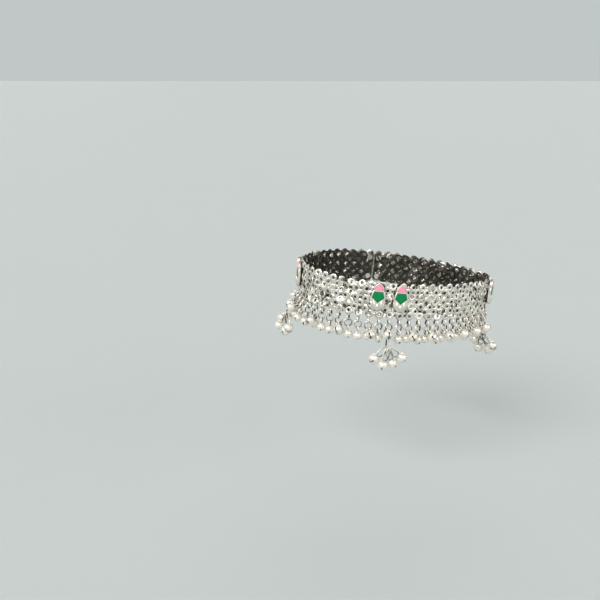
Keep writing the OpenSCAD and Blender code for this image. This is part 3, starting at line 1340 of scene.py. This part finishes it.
@dataclass
class Fringe:
    """The row of jump rings under the mesh and the bells that hang from them.

    Args:
        oval: The line that the mesh follows.
        wire: Diameter of the rings' wire.
        ring_radius: Radius of a jump ring.
        ring_sides: Sides of a ring, and of its wire.
        eyelet_radius: Radius of an eyelet.
        eyelet_height: Height of the eyelets' middles.
        hang_gap: Play between a wire and what hangs from it.
        loop_radius: Radius of a bell's loop.
        loop_wire: Radius of the loop's wire.
        loop_sides: Sides of the loop, and of its wire.
        solder: How far the loop is sunk into the ball.
        flare: Outward flare over the instep.
        flare_span: How far round from the instep end the fringe flares.
        twists: Twists of the rings, in order, in degrees.
        paired: Stations whose ring holds two bells.
        single_seat: Seat of a bell that hangs alone.
        rear_seat: Seat of the rear one of two bells.
        front_seat: Seat of the front one.
        link_seat: Seat of the bell in front of the front cluster's link.
        least_spin: Least turn of a bell's slit out of the line of the mesh, in degrees.
        spin_range: Range of that turn.
        spin_step: Turn of each bell from the one before, within that range.
        bell: The ball of its bells.
        seed: Seed of the tones.
    """

    oval: Oval = OVAL
    wire: float = WIRE
    ring_radius: float = 1.95 * MM
    ring_sides: tuple[int, int] = (20, 8)
    eyelet_radius: float = EYELET_RADIUS
    eyelet_height: float = EYELET_HEIGHT
    hang_gap: float = 0.17 * MM
    loop_radius: float = 1.35 * MM
    loop_wire: float = 0.35 * MM
    loop_sides: tuple[int, int] = (14, 6)
    solder: float = 0.25 * MM
    flare: float = math.radians(42)
    flare_span: float = math.radians(56)
    twists: tuple[float, ...] = (10, 26, 18, 30, 22)
    paired: tuple[int, ...] = (2, 5, 8, 11, 18, 21, 24, 29, 32, 35, 38, 42, 44, 46, 48, 50, 52)
    single_seat: Seat = Seat(0, 0, 0)
    rear_seat: Seat = Seat(-10, -10, -20)
    front_seat: Seat = Seat(27, 12, 62)
    link_seat: Seat = Seat(-44, -20, 70)
    least_spin: float = 55
    spin_range: float = 70
    spin_step: float = 67
    bell: Bell = field(default_factory=Bell)
    seed: int = 5

    @property
    def hang_step(self) -> float:
        """Distance between the middles of two wires, one hanging from the other."""
        return self.wire + self.hang_gap

    @property
    def loop_rise(self) -> float:
        """Height of the top of a loop's wire above the wire that it hangs from."""
        return self.wire / 2 + self.hang_gap + self.loop_wire

    def flare_at(self, turn: float) -> float:
        """Works out how far the fringe flares outwards.

        Args:
            turn: Direction in which the mesh faces there.

        Returns:
            The flare, which is greatest at the instep end.
        """
        off = abs(turn - math.pi)
        if off >= self.flare_span:
            return 0.0
        return self.flare * math.cos(QUARTER_TURN * off / self.flare_span) ** 2

    def ring_place(self, station: int, twist: float, flare: float) -> Matrix:
        """Frame at the middle of a jump ring.

        Args:
            station: Where the ring hangs.
            twist: Its twist, in degrees.
            flare: Its flare.

        Returns:
            The frame.
        """
        drop = self.eyelet_radius - self.hang_step + self.ring_radius
        hanging = self.oval.hanging(station, self.eyelet_height, flare, math.radians(twist))
        return hanging @ Matrix.Translation((0, 0, -drop))

    def bell_mesh(self) -> bpy.types.Mesh:
        """Makes a fringe bell.

        Returns:
            The bell, which hangs from a wire at the origin.
        """
        middle = self.loop_rise - self.loop_radius
        foot = middle - self.loop_radius
        gathered = Gathering()
        ball_middle = foot + self.solder - self.bell.radius
        gathered.add(self.bell.ball(), Matrix.Translation((0, 0, ball_middle)))
        loop = round_wire_ring("loop", self.loop_radius, 2 * self.loop_wire, *self.loop_sides)
        turned = Matrix.Rotation(QUARTER_TURN, 4, "Z")
        gathered.add(loop, Matrix.Translation((0, 0, middle)) @ turned)
        gathered.add(solder_bead(self.loop_wire), Matrix.Translation((0, 0, foot)))
        return gathered.mesh("fringe_bell")

    def hangings(self, clusters: Sequence["ClusterRow"]) -> Iterable[tuple[Matrix, list[Seat], float]]:
        """Lists the rings, those of the clusters last.

        Args:
            clusters: The clusters.

        Yields:
            The frame of a ring, the seats of its bells and the spin of their slits.
        """
        taken = {row.station for row in clusters}
        for station in range(self.oval.stations):
            if station in taken:
                continue
            paired = station in self.paired
            twist = 0.0 if paired else self.twists[station % len(self.twists)]
            place = self.ring_place(station, twist, self.flare_at(self.oval.locate(station)[1]))
            seats = [self.rear_seat, self.front_seat] if paired else [self.single_seat]
            yield place, seats, self.spin_at(station)
        for row in clusters:
            seats = [self.link_seat] if row.cluster is Cluster.FRONT else []
            yield self.ring_place(row.station, row.twist, row.flare), seats, self.spin_at(row.station)

    def build(
        self,
        clusters: Sequence["ClusterRow"],
        ring_silver: bpy.types.Material,
        bell_silver: bpy.types.Material,
    ) -> list[bpy.types.Object]:
        """Builds and dresses the rings and bells.

        Args:
            clusters: The clusters, whose rings belong to the fringe.
            ring_silver: Finish of the rings.
            bell_silver: Finish of the bells.

        Returns:
            Its two pieces.
        """
        draws = random.Random(self.seed)
        ring = round_wire_ring("ring", self.ring_radius, self.wire, *self.ring_sides)
        bell = self.bell_mesh()
        rings = Gathering()
        bells = Gathering()
        for place, seats, spin in self.hangings(clusters):
            rings.add(ring, place, draws.random())
            for seat in seats:
                spun = self.spun(bell, spin)
                bells.add(spun, place @ seat.place(self.ring_radius), draws.random())
                bpy.data.meshes.remove(spun)
        return [
            show(rings.mesh("wire_rings"), ring_silver, "ring_silver", ["jump_rings"]),
            show(bells.mesh("pierced_bells"), bell_silver, "bell_silver", ["fringe_bells"]),
        ]

    def spin_at(self, station: int) -> float:
        """How far the slit of a bell is turned out of the line of the mesh."""
        return math.radians(self.least_spin + self.spin_step * station % self.spin_range)

    def spun(self, bell: bpy.types.Mesh, spin: float) -> bpy.types.Mesh:
        """Spins a bell's ball, below its loop, about the vertical.

        Args:
            bell: The bell, which stays as it is.
            spin: How far the ball is spun.

        Returns:
            The spun copy.
        """
        copy = bell.copy()
        foot = self.loop_rise - 2 * self.loop_radius
        turn = Matrix.Rotation(spin, 3, "Z")
        for vertex in copy.vertices:
            if vertex.co.z < foot:
                vertex.co = turn @ vertex.co
        return copy


def solder_bead(wire: float) -> bpy.types.Mesh:
    """Flat bead of solder where a loop meets its ball, twice as wide as the loop's wire."""
    return mesh_from(ball_bmesh(2 * wire, BEAD_FACETS, BEAD_SQUAT), "bead")


# The clusters


@dataclass(frozen=True)
class ClusterRow:
    """Place of one cluster.

    Args:
        cluster: Which one it is.
        station: Station of its ring.
        twist: Twist of the ring and link, in degrees.
        flare: Flare of the ring and link.
        link_length: Length of the long link between the middles of its bars.
        drop_shift: How much further along the mesh its two drops stand.
    """

    cluster: Cluster
    station: int
    twist: float
    flare: float
    link_length: float
    drop_shift: float


@dataclass
class Clusters:
    """Three fans of larger bells, each on a long link.

    Args:
        fringe: The fringe, whose sizes the clusters share.
        link_top: Half the width of a long link's top.
        link_foot: Half the width of its foot.
        link_bend: Radius of its bends.
        foot_steps: Steps of a bend at its foot.
        top_steps: Steps of a bend at its top.
        eye_radius: Radius of a bell's long eye.
        eye_straight: Length of the eye's straight sides.
        eye_steps: Steps of a quarter of the eye's bends.
        wire_sides: Sides of the wire of links and eyes.
        fan_turns: Turns of the four bells, in degrees.
        fan_places: Their places along the lower bar.
        fan_spins: Turns of their slits, in degrees.
        bell: The ball of their bells.
        seed: Seed of the tones.
    """

    fringe: Fringe
    link_top: float = 0.95 * MM
    link_foot: float = 2.6 * MM
    link_bend: float = 0.7 * MM
    foot_steps: int = 5
    top_steps: int = 4
    eye_radius: float = 1.6 * MM
    eye_straight: float = 3.4 * MM
    eye_steps: int = 5
    wire_sides: int = 8
    fan_turns: tuple[float, ...] = (-58, -21, 21, 58)
    fan_places: tuple[float, ...] = (-1.5 * MM, 0.5 * MM, -0.5 * MM, 1.5 * MM)
    fan_spins: tuple[float, ...] = (84, 66, 100, 74)
    bell: Bell = field(default_factory=lambda: Bell(radius=2.55 * MM, facets=(18, 12)))
    seed: int = 3

    @property
    def rows(self) -> tuple[ClusterRow, ...]:
        """The three places.

        Each has its share of the way round from the heel end, its twist and flare in degrees, the length
        of its link in millimetres and the shift of its drops in millimetres.
        """
        places = (
            (Cluster.FRONT, 0.74, 14, 0, 10.2, -1.4),
            (Cluster.HEEL, 0, 40, 4, 9.1, 0),
            (Cluster.INSTEP, 0.5, 30, 26, 9.1, 0),
        )
        return tuple(
            ClusterRow(
                cluster, station=round(share * self.fringe.oval.stations), twist=twist,
                flare=math.radians(flare), link_length=length * MM, drop_shift=shift * MM,
            )
            for cluster, share, twist, flare, length, shift in places
        )

    def link_mesh(self, length: float) -> bpy.types.Mesh:
        """Bends a long link, which widens from its top to its foot.

        Args:
            length: Its length between the middles of its two bars.

        Returns:
            The link, in the XZ plane, with its lower bar through the origin.
        """
        lean = math.atan2(self.link_foot - self.link_top, length)
        at_foot, at_top = QUARTER_TURN + lean, QUARTER_TURN - lean
        foot = self.link_foot - self.link_bend / math.tan(at_top / 2)
        top = self.link_top - self.link_bend / math.tan(at_foot / 2)
        low = Vector((foot + self.link_bend * math.cos(lean), self.link_bend * (1 + math.sin(lean))))
        high = Vector(
            (top + self.link_bend * math.cos(lean), length - self.link_bend * (1 - math.sin(lean)))
        )
        side = (high - low).length
        wire = WireBender(self.fringe.wire, self.wire_sides, Vector((0, -foot, 0)))
        wire.straight(2 * foot).bend(self.link_bend, at_foot, self.foot_steps).straight(side)
        wire.bend(self.link_bend, at_top, self.top_steps).straight(2 * top)
        wire.bend(self.link_bend, at_top, self.top_steps).straight(side)
        wire.bend(self.link_bend, at_foot, self.foot_steps)
        made = wire.close("long_link")
        made.transform(Matrix.Rotation(-QUARTER_TURN, 4, "Z"))
        return made

    def bell_mesh(self, spin: float) -> bpy.types.Mesh:
        """Makes a cluster bell with its long eye.

        Args:
            spin: Turn of its slit, in degrees.

        Returns:
            The bell, which hangs from a bar along X at the origin.
        """
        low = self.fringe.loop_rise - self.eye_radius - self.eye_straight - self.eye_radius
        wire = WireBender(2 * self.fringe.loop_wire, self.wire_sides, Vector((0, 0, low)))
        wire.bend(self.eye_radius, QUARTER_TURN, self.eye_steps).straight(self.eye_straight)
        wire.bend(self.eye_radius, 2 * QUARTER_TURN, 2 * self.eye_steps).straight(self.eye_straight)
        wire.bend(self.eye_radius, QUARTER_TURN, self.eye_steps)
        gathered = Gathering()
        gathered.add(wire.close("eye"))
        gathered.add(solder_bead(self.fringe.loop_wire), Matrix.Translation((0, 0, low)))
        ball = low + self.fringe.solder - self.bell.radius
        turned = Matrix.Translation((0, 0, ball)) @ Matrix.Rotation(math.radians(spin), 4, "Z")
        gathered.add(self.bell.ball(), turned)
        return gathered.mesh("cluster_bell")

    def foot_place(self, row: ClusterRow) -> Matrix:
        """Frame at the lower bar of a cluster's long link.

        Args:
            row: The cluster.

        Returns:
            The frame.
        """
        drop = self.fringe.hang_step - self.fringe.ring_radius - row.link_length
        ring = self.fringe.ring_place(row.station, row.twist, row.flare)
        return ring @ Matrix.Translation((0, 0, drop))

    def build(
        self, ring_silver: bpy.types.Material, bell_silver: bpy.types.Material
    ) -> list[bpy.types.Object]:
        """Builds and dresses the links and bells.

        Args:
            ring_silver: Finish of the links.
            bell_silver: Finish of the bells.

        Returns:
            The pieces, one for each node.
        """
        draws = random.Random(self.seed)
        fan = [
            (self.bell_mesh(spin), math.radians(turn), shift)
            for spin, turn, shift in zip(self.fan_spins, self.fan_turns, self.fan_places)
        ]
        pieces = []
        for row in self.rows:
            name = row.cluster.value
            foot = self.foot_place(row)
            link = placed(self.link_mesh(row.link_length), foot, draws.random(), f"{name}_link")
            pieces.append(show(link, ring_silver, "ring_silver", [f"{name}_long_link"]))
            for number, (bell, turn, shift) in enumerate(fan, 1):
                place = foot @ Matrix.Translation((shift, 0, 0)) @ Matrix.Rotation(turn, 4, "X")
                ball = placed(bell, place, draws.random(), f"{name}_ball_{number}")
                pieces.append(show(ball, bell_silver, "bell_silver", [f"{name}_bell_{number}"]))
        return pieces


# The enamel drops


@dataclass(frozen=True)
class DropShape:
    """Outlines of an enamel drop, X across and Y up from its middle.

    Args:
        width: Its width.
        shoulder: Height of its widest place.
        dome_half: Half the width of the arch at its foot.
        dome_curve: Radius of the arch's two sides.
        dome_foot: Height of the arch's foot.
        cup_straight: Height of the cup's upright sides.
        cup_curve: Radius of the cup's two sides.
        rim: Width of the silver rim round the enamel.
        green_head: Height of the top of the green.
        green_tip: Height of its tip.
        steps: Points on a curved side.
    """

    width: float = 6.9 * MM
    shoulder: float = -0.6 * MM
    dome_half: float = 2.6 * MM
    dome_curve: float = 4.05 * MM
    dome_foot: float = 2.6 * MM
    cup_straight: float = 2.6 * MM
    cup_curve: float = 3.7 * MM
    rim: float = 0.45 * MM
    green_head: float = 2.35 * MM
    green_tip: float = -3.3 * MM
    steps: int = 10

    def pointed(self, half: float, curve: float, foot: float, up: int) -> list[Vector]:
        """Two arcs that rise from both sides of a foot to a point.

        Args:
            half: Half the width at the foot.
            curve: Radius of the arcs.
            foot: Height of the foot.
            up: 1 for an arch and -1 for a cup.

        Returns:
            The points, from the right foot over the point to the left one.
        """
        top = math.acos((curve - half) / curve)
        right = []
        for step in range(self.steps):
            turn = top * step / self.steps
            across = half - curve + curve * math.cos(turn)
            right.append(Vector((across, foot + up * curve * math.sin(turn))))
        peak = Vector((0, foot + up * curve * math.sin(top)))
        left = [Vector((-point.x, point.y)) for point in reversed(right)]
        return [*right, peak, *left]

    def arch(self, inset: float) -> list[Vector]:
        """Outlines the arch.

        Args:
            inset: How far it is inset from the drop's own outline.

        Returns:
            The points, from right to left.
        """
        foot = self.dome_foot + (inset - self.rim if inset > self.rim else 0)
        return self.pointed(self.dome_half - inset, self.dome_curve - inset, foot, 1)

    def cup(self, inset: float) -> list[Vector]:
        """Outlines the cup's curved sides.

        Args:
            inset: How far they are inset from the drop's own outline.

        Returns:
            The points, from right to left.
        """
        half, foot = self.width / 2 - inset, self.shoulder - self.cup_straight
        return self.pointed(half, self.cup_curve - inset, foot, -1)

    def outline(self) -> list[Vector]:
        """Outlines the whole drop.

        Returns:
            The points, anticlockwise.
        """
        half = self.width / 2
        arch = self.arch(0)
        cup = list(reversed(self.cup(0)))
        return [*arch, Vector((-half, self.shoulder)), *cup, Vector((half, self.shoulder))]

    def green(self, grow: float) -> list[Vector]:
        """Outlines the green cell.

        Args:
            grow: How far it is grown outwards.

        Returns:
            The points, anticlockwise.
        """
        head = self.dome_half - self.rim + grow
        half = self.width / 2 - self.rim + grow
        return [
            Vector((head, self.green_head + grow)), Vector((-head, self.green_head + grow)),
            Vector((-half, self.shoulder)), Vector((0, self.green_tip - grow)),
            Vector((half, self.shoulder)),
        ]

    def pink(self, grow: float) -> list[Vector]:
        """Outlines the pink cell, grown outwards, anticlockwise."""
        return self.arch(self.rim - grow)


@dataclass(frozen=True)
class Flutes:
    """Tapered ridges that spread over the cup of a drop.

    Args:
        turns: Their directions, in degrees.
        foot: Height of the point that they spread from.
        start: Distance of their near ends from that point.
        reach: Their length.
        radius: Height of their relief's full rise.
        near_radius: Radius of their near ends.
        far_radius: Radius of their far ends.
        sides: Sides of a flute.
        sink: How far their middles lie below the front of the plate.
        margin: Gap between them and the edge of the plate.
        rim_share: Share of the rim's width that they keep clear of below the green cell.
        block_foot: How far below the front of the plate they are kept.
        block_top: How far above it they are kept.
        least_relief: Their relief at the front of the plate.
    """

    turns: tuple[float, ...] = (-28, -14, 0, 14, 28)
    foot: float = -9.4 * MM
    start: float = 2.7 * MM
    reach: float = 5.4 * MM
    radius: float = 0.3 * MM
    near_radius: float = 0.18 * MM
    far_radius: float = 0.51 * MM
    sides: int = 8
    sink: float = 0.05 * MM
    margin: float = 0.12 * MM
    rim_share: float = 0.9
    block_foot: float = 0.1 * MM
    block_top: float = 0.9 * MM
    # least_relief: Their relief at the front of the plate; lower relief darkens their feet with painted
    # shade and tarnish.
    least_relief: float = 0.3

    def flute(self, turn: float, front: float) -> bpy.types.Mesh:
        """Makes one flute.

        Args:
            turn: Its direction, in degrees.
            front: Height of the front of the plate.

        Returns:
            The flute, untrimmed.
        """
        bm = bmesh.new()
        lie = (
            Matrix.Translation((0, self.foot, front - self.sink))
            @ Matrix.Rotation(math.radians(turn), 4, "Z")
            @ Matrix.Rotation(-QUARTER_TURN, 4, "X")
            @ Matrix.Translation((0, 0, self.start + self.reach / 2))
        )
        bmesh.ops.create_cone(
            bm, cap_ends=True, segments=self.sides, radius1=self.near_radius,
            radius2=self.far_radius, depth=self.reach, matrix=lie,
        )
        return mesh_from(bm, "flute")

    def build(self, shape: DropShape, front: float) -> bpy.types.Mesh:
        """Makes all the flutes and trims them to the cup below the green cell.

        Args:
            shape: Outlines of the drop.
            front: Height of the front of the plate.

        Returns:
            The flutes.
        """
        flutes = Gathering()
        for turn in self.turns:
            flutes.add(self.flute(turn, front))
        half = shape.width / 2 - self.margin
        drop = self.rim_share * shape.rim
        region = [
            Vector((half, shape.shoulder - drop)), Vector((0, shape.green_tip - drop)),
            Vector((-half, shape.shoulder - drop)), *reversed(shape.cup(self.margin)),
        ]
        block, _ = slab(region, front - self.block_foot, front + self.block_top)
        kept = carved(flutes.mesh("flutes"), mesh_from(block, "cup_block"), Cut.INSIDE, "cup_ridges")
        # Relief falls towards the plate: painted shade and tarnish in the grooves between the flutes.
        set_points(kept, RELIEF, lambda point: self.least_relief + (point.z - front) / self.radius)
        return kept


@dataclass
class Drops:
    """Pairs of enamel drops above the clusters.

    Args:
        oval: The line that the mesh follows.
        shape: Their outlines.
        offset: Distance of a drop from its cluster's station.
        lift: Height of a drop's middle above the middle of the mesh.
        seat: Distance of a drop's back from the middle of the mesh.
        plate: Height of the front of the plate.
        plate_sink: How far its front lies below that.
        plate_round: Rounding of its front edge.
        plate_bright: Share of its height from which it is bright; below it the plate is darkened with
            painted shade.
        sharp_angle: Angle from which an edge of it looks sharp, in degrees.
        pocket: Depth of the enamel's pocket.
        gap: Gap round the enamel.
        enamel_foot: Gap under the enamel.
        enamel_edge: Height of its edge above the plate.
        crown: Rise of the enamel above its edge.
        crown_steps: Rows of the enamel's dome, each with its shrinking and its share of the rise.
        crown_relief: Rise over which its relief goes from 0 to 1.
        rim_rise: Rise of the rim above the plate.
        rim_round: Rounding of the rim's edges, as a share of its width.
        flutes: The flutes of the cup.
        seed: Seed of the tones.
    """

    oval: Oval = OVAL
    shape: DropShape = DropShape()
    offset: float = 5.3 * MM
    lift: float = 2.2 * MM
    seat: float = 1.25 * MM
    plate: float = 1.2 * MM
    plate_sink: float = 0.02 * MM
    plate_round: float = 0.18 * MM
    plate_bright: float = 0.8
    sharp_angle: float = 50
    pocket: float = 0.6 * MM
    gap: float = 0.06 * MM
    enamel_foot: float = 0.1 * MM
    enamel_edge: float = 0.05 * MM
    crown: float = 0.32 * MM
    crown_steps: tuple[tuple[float, float], ...] = ((0.94, 0.42), (0.86, 0.72), (0.7, 0.92), (0.4, 1.0))
    crown_relief: float = 0.3 * MM
    rim_rise: float = 0.2 * MM
    rim_round: float = 0.35
    flutes: Flutes = Flutes()
    seed: int = 9

    def rim(self, cell: Sequence[Vector], grown: Sequence[Vector]) -> bpy.types.Mesh:
        """Makes the rounded silver rim round a cell.

        Args:
            cell: Outline of the cell.
            grown: The same outline, grown by the rim's width.

        Returns:
            The rim.
        """
        bm = bmesh.new()
        low, high = self.plate - self.pocket, self.plate + self.rim_rise
        loops = []
        for outline, height in ((grown, low), (grown, high), (cell, high), (cell, low)):
            verts = [bm.verts.new((*point, height)) for point in outline]
            loops.append([bm.edges.new(pair) for pair in zip(verts, verts[1:] + verts[:1])])
        for first, second in zip(loops, loops[1:] + loops[:1]):
            bmesh.ops.bridge_loops(bm, edges=first + second)
        bmesh.ops.recalc_face_normals(bm, faces=bm.faces[:])
        round_edges(bm, loops[1] + loops[2], self.rim_round * self.shape.rim)
        return mesh_from(bm, "rim")

    def base(self) -> bpy.types.Mesh:
        """Makes the plate behind the drop.

        Returns:
            The plate, with a rounded front edge.
        """
        bm, top = slab(self.shape.outline(), 0, self.plate - self.plate_sink)
        round_edges(bm, list(top.edges), self.plate_round)
        made = mesh_from(bm, "base")
        made.set_sharp_from_angle(angle=math.radians(self.sharp_angle))
        set_points(made, RELIEF, self.base_relief)
        return made

    def base_relief(self, point: Vector) -> float:
        """Relief of the plate: 0 on its back and the foot of its sides, where shade is painted as a dark
        outline round the setting, and 1 on its front.
        """
        # Painted shade along the foot of the plate.
        return 0.0 if point.z < self.plate_bright * self.plate else 1.0

    def setting(self) -> bpy.types.Mesh:
        """Makes the silver setting.

        Returns:
            The setting, which lies flat with its front up.
        """
        gathered = Gathering()
        gathered.add(self.base())
        for cell in (self.shape.pink, self.shape.green):
            gathered.add(self.rim(cell(0), cell(self.shape.rim)))
        gathered.add(self.flutes.build(self.shape, self.plate))
        return gathered.mesh("setting")

    def pillow(self, outline: Sequence[Vector], name: str) -> bpy.types.Mesh:
        """Makes the crowned filling of a cell.

        Args:
            outline: Outline of the filling.
            name: Name of the mesh.

        Returns:
            The filling, with its relief falling towards its edge.
        """
        edge = self.plate + self.enamel_edge
        bm, top = slab(outline, self.plate - self.pocket + self.enamel_foot, edge)
        middle = top.calc_center_median()
        height = top.verts[0].co.z
        for share, rise in self.crown_steps:
            grown = bmesh.ops.extrude_discrete_faces(bm, faces=[top])
            top = grown["faces"][0]
            verts = top.verts[:]
            here = verts[0].co.z
            about = Matrix.Translation((middle.x, middle.y, here))
            shrink = about @ Matrix.Diagonal((share, share, 1, 1)) @ about.inverted()
            bmesh.ops.transform(bm, matrix=shrink, verts=verts)
            bmesh.ops.translate(bm, vec=(0, 0, height + rise * self.crown - here), verts=verts)
        made = mesh_from(bm, name)
        set_points(made, RELIEF, lambda point: max(0.0, (point.z - edge) / self.crown_relief))
        return made

    def place(self, row: ClusterRow, side: Side) -> Matrix:
        """Frame of a drop on the mesh.

        Args:
            row: The cluster that it belongs to.
            side: Which one of the pair it is.

        Returns:
            The frame, with X along the mesh, Y up and Z outwards.
        """
        along = row.station + (row.drop_shift + side.value * self.offset) / self.oval.pitch
        face = Matrix.Rotation(QUARTER_TURN, 4, "Z") @ Matrix.Rotation(QUARTER_TURN, 4, "X")
        return self.oval.on_mesh(along, self.lift) @ Matrix.Translation((self.seat, 0, 0)) @ face

    def build(self, rows: Sequence[ClusterRow]) -> list[bpy.types.Object]:
        """Builds and dresses the drops.

        Args:
            rows: The clusters that they lie above.

        Returns:
            The pieces, three for each drop.
        """
        finishes = (SETTING_SILVER, PINK_ENAMEL, GREEN_ENAMEL)
        silver, pink, green = (finish.build() for finish in finishes)
        kinds = (
            ("setting", self.setting(), silver, "setting_silver"),
            ("pink_enamel", self.pillow(self.shape.pink(-self.gap), "pink"), pink, "pink_enamel"),
            ("green_enamel", self.pillow(self.shape.green(-self.gap), "green"), green, "green_enamel"),
        )
        draws = random.Random(self.seed)
        pieces = []
        for row in rows:
            for side in Side:
                place = self.place(row, side)
                stem = f"{row.cluster.value}_drop_{side.name.lower()}"
                for kind, mesh, material, slot in kinds:
                    made = placed(mesh, place, draws.random(), f"{stem}_{kind}_piece")
                    pieces.append(show(made, material, slot, [f"{stem}_{kind}"]))
        return pieces


# The studio


@dataclass(frozen=True)
class Lamp:
    """A wide, far light, whose shadows are soft.

    Args:
        name: Its name.
        towards: Direction in which it stands.
        spread: Width of the light as it is seen from the object, in degrees.
        strength: What it sheds on a face turned towards it, in watts for each square metre.
    """

    name: str
    towards: Vector
    spread: float
    strength: float

    def build(self) -> None:
        """Sets the light."""
        data = bpy.data.lights.new(self.name, "SUN")
        data.angle = math.radians(self.spread)
        data.energy = self.strength
        lamp = bpy.data.objects.new(self.name, data)
        lamp.matrix_world = self.towards.to_track_quat("Z", "Y").to_matrix().to_4x4()
        bpy.context.scene.collection.objects.link(lamp)


LAMPS = (
    Lamp("key", Vector((-0.5, -0.6, 0.75)), 35, 1.5),
    Lamp("right", Vector((0.9, -0.3, 0.5)), 25, 0.3),
    Lamp("back", Vector((0.2, 0.8, 0.7)), 40, 0.4),
)


@dataclass
class Studio:
    """Pale floor, soft light and the camera.

    Args:
        floor_height: Height of the floor.
        floor_half: Half the width of the floor.
        floor_cells: Cells along each side of the floor.
        elevation: Height of the camera's view above the horizon.
        distance: Distance of the camera from the origin, along its view.
        aside: How far the camera stands to the left of the origin.
        below: How far it stands below its line of view.
        lens: Focal length, in millimetres.
        sensor: Width of the camera's sensor, in millimetres.
        nearest: Distance from which the camera sees.
        horizon: Colour of the room at the floor's far edge.
        tint: Colour of the soft lights above it.
        room: Sines of elevations, each with the brightness of the soft lights there.
        gap: Colour of the room between the soft lights.
        patch_size: Width of the soft lights, where 1 is the distance to them.
        patch_edges: Noise from which the soft lights begin and at which they are full.
        horizon_edges: Sines of the elevations between which the horizon's colour gives way to them.
    """

    floor_height: float = -95 * MM
    floor_half: float = 40.0
    floor_cells: int = 8
    elevation: float = math.radians(15)
    distance: float = 430 * MM
    aside: float = 48.5 * MM
    below: float = 8.6 * MM
    lens: float = 50
    sensor: float = 36
    nearest: float = 0.01
    horizon: Colour = (0.535, 0.572, 0.568, 1)
    tint: tuple[float, float, float] = (1.0, 1.0, 0.97)
    room: tuple[tuple[float, float], ...] = ((0.001, 1.9), (0.55, 1.9), (0.75, 0.6), (0.999, 0.4))
    gap: Colour = (0.14, 0.145, 0.14, 1)
    patch_size: float = 0.35
    patch_edges: tuple[float, float] = (0.42, 0.58)
    horizon_edges: tuple[float, float] = (0.09, 0.16)

    def floor(self) -> None:
        """Lays the floor."""
        bm = bmesh.new()
        lie = Matrix.Translation((0, 0, self.floor_height))
        bmesh.ops.create_grid(
            bm, x_segments=self.floor_cells, y_segments=self.floor_cells, size=self.floor_half,
            matrix=lie,
        )
        mesh = mesh_from(bm, "floor")
        floor = bpy.data.objects.new("floor", mesh)
        bpy.context.scene.collection.objects.link(floor)
        mesh.materials.append(FLOOR_PAPER.build())

    def camera(self) -> None:
        """Sets up the camera at the photograph's angle."""
        right = X_AXIS
        forward = Vector((0, math.cos(self.elevation), -math.sin(self.elevation)))
        up = right.cross(forward)
        place = -self.aside * right - self.below * up - self.distance * forward
        data = bpy.data.cameras.new("camera")
        data.lens = self.lens
        data.sensor_width = self.sensor
        data.clip_start = self.nearest
        camera = bpy.data.objects.new("camera", data)
        turned = Matrix((right, up, -forward)).transposed().to_4x4()
        camera.matrix_world = Matrix.Translation(place) @ turned
        bpy.context.scene.collection.objects.link(camera)
        bpy.context.scene.camera = camera

    def surroundings(self) -> None:
        """Sets the room round the object: pale at the horizon and dimmer above."""
        bpy.context.scene.view_settings.view_transform = "Standard"
        world = bpy.data.worlds.new("studio")
        bpy.context.scene.world = world
        shader = RoomShader(world)
        height = shader.node("ShaderNodeSeparateXYZ", {}, {0: shader.place()}, "Z")
        stops = [(sine, (*(level * tint for tint in self.tint), 1)) for sine, level in self.room]
        light = shader.node("ShaderNodeValToRGB", {"stops": stops}, {0: height})
        patches = shader.noise(self.patch_size, detail=1.0).step(*self.patch_edges)
        light = shader.mix(patches, self.gap, light)
        above = height.step(*self.horizon_edges)
        shader.feed(shader.surface.inputs["Color"], shader.mix(above, self.horizon, light))

    def build(self) -> None:
        """Sets up the whole studio."""
        self.surroundings()
        self.floor()
        self.camera()
        for lamp in LAMPS:
            lamp.build()


def dress_clasp() -> None:
    """Gives the clasp its finish."""
    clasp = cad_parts["clasp"]
    clasp.data.materials.clear()
    clasp.data.materials.append(CLASP_SILVER.build())


def main() -> None:
    """Builds the sub-assemblies in order and reports each piece."""
    logging.basicConfig(level=logging.INFO, format="%(name)s: %(message)s")
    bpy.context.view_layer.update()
    Studio().build()
    MeshBand().build()
    fringe = Fringe()
    clusters = Clusters(fringe)
    finishes = (RING_SILVER.build(), BELL_SILVER.build())
    fringe.build(clusters.rows, *finishes)
    clusters.build(*finishes)
    Drops().build(clusters.rows)
    dress_clasp()


if __name__ == "__main__":
    main()
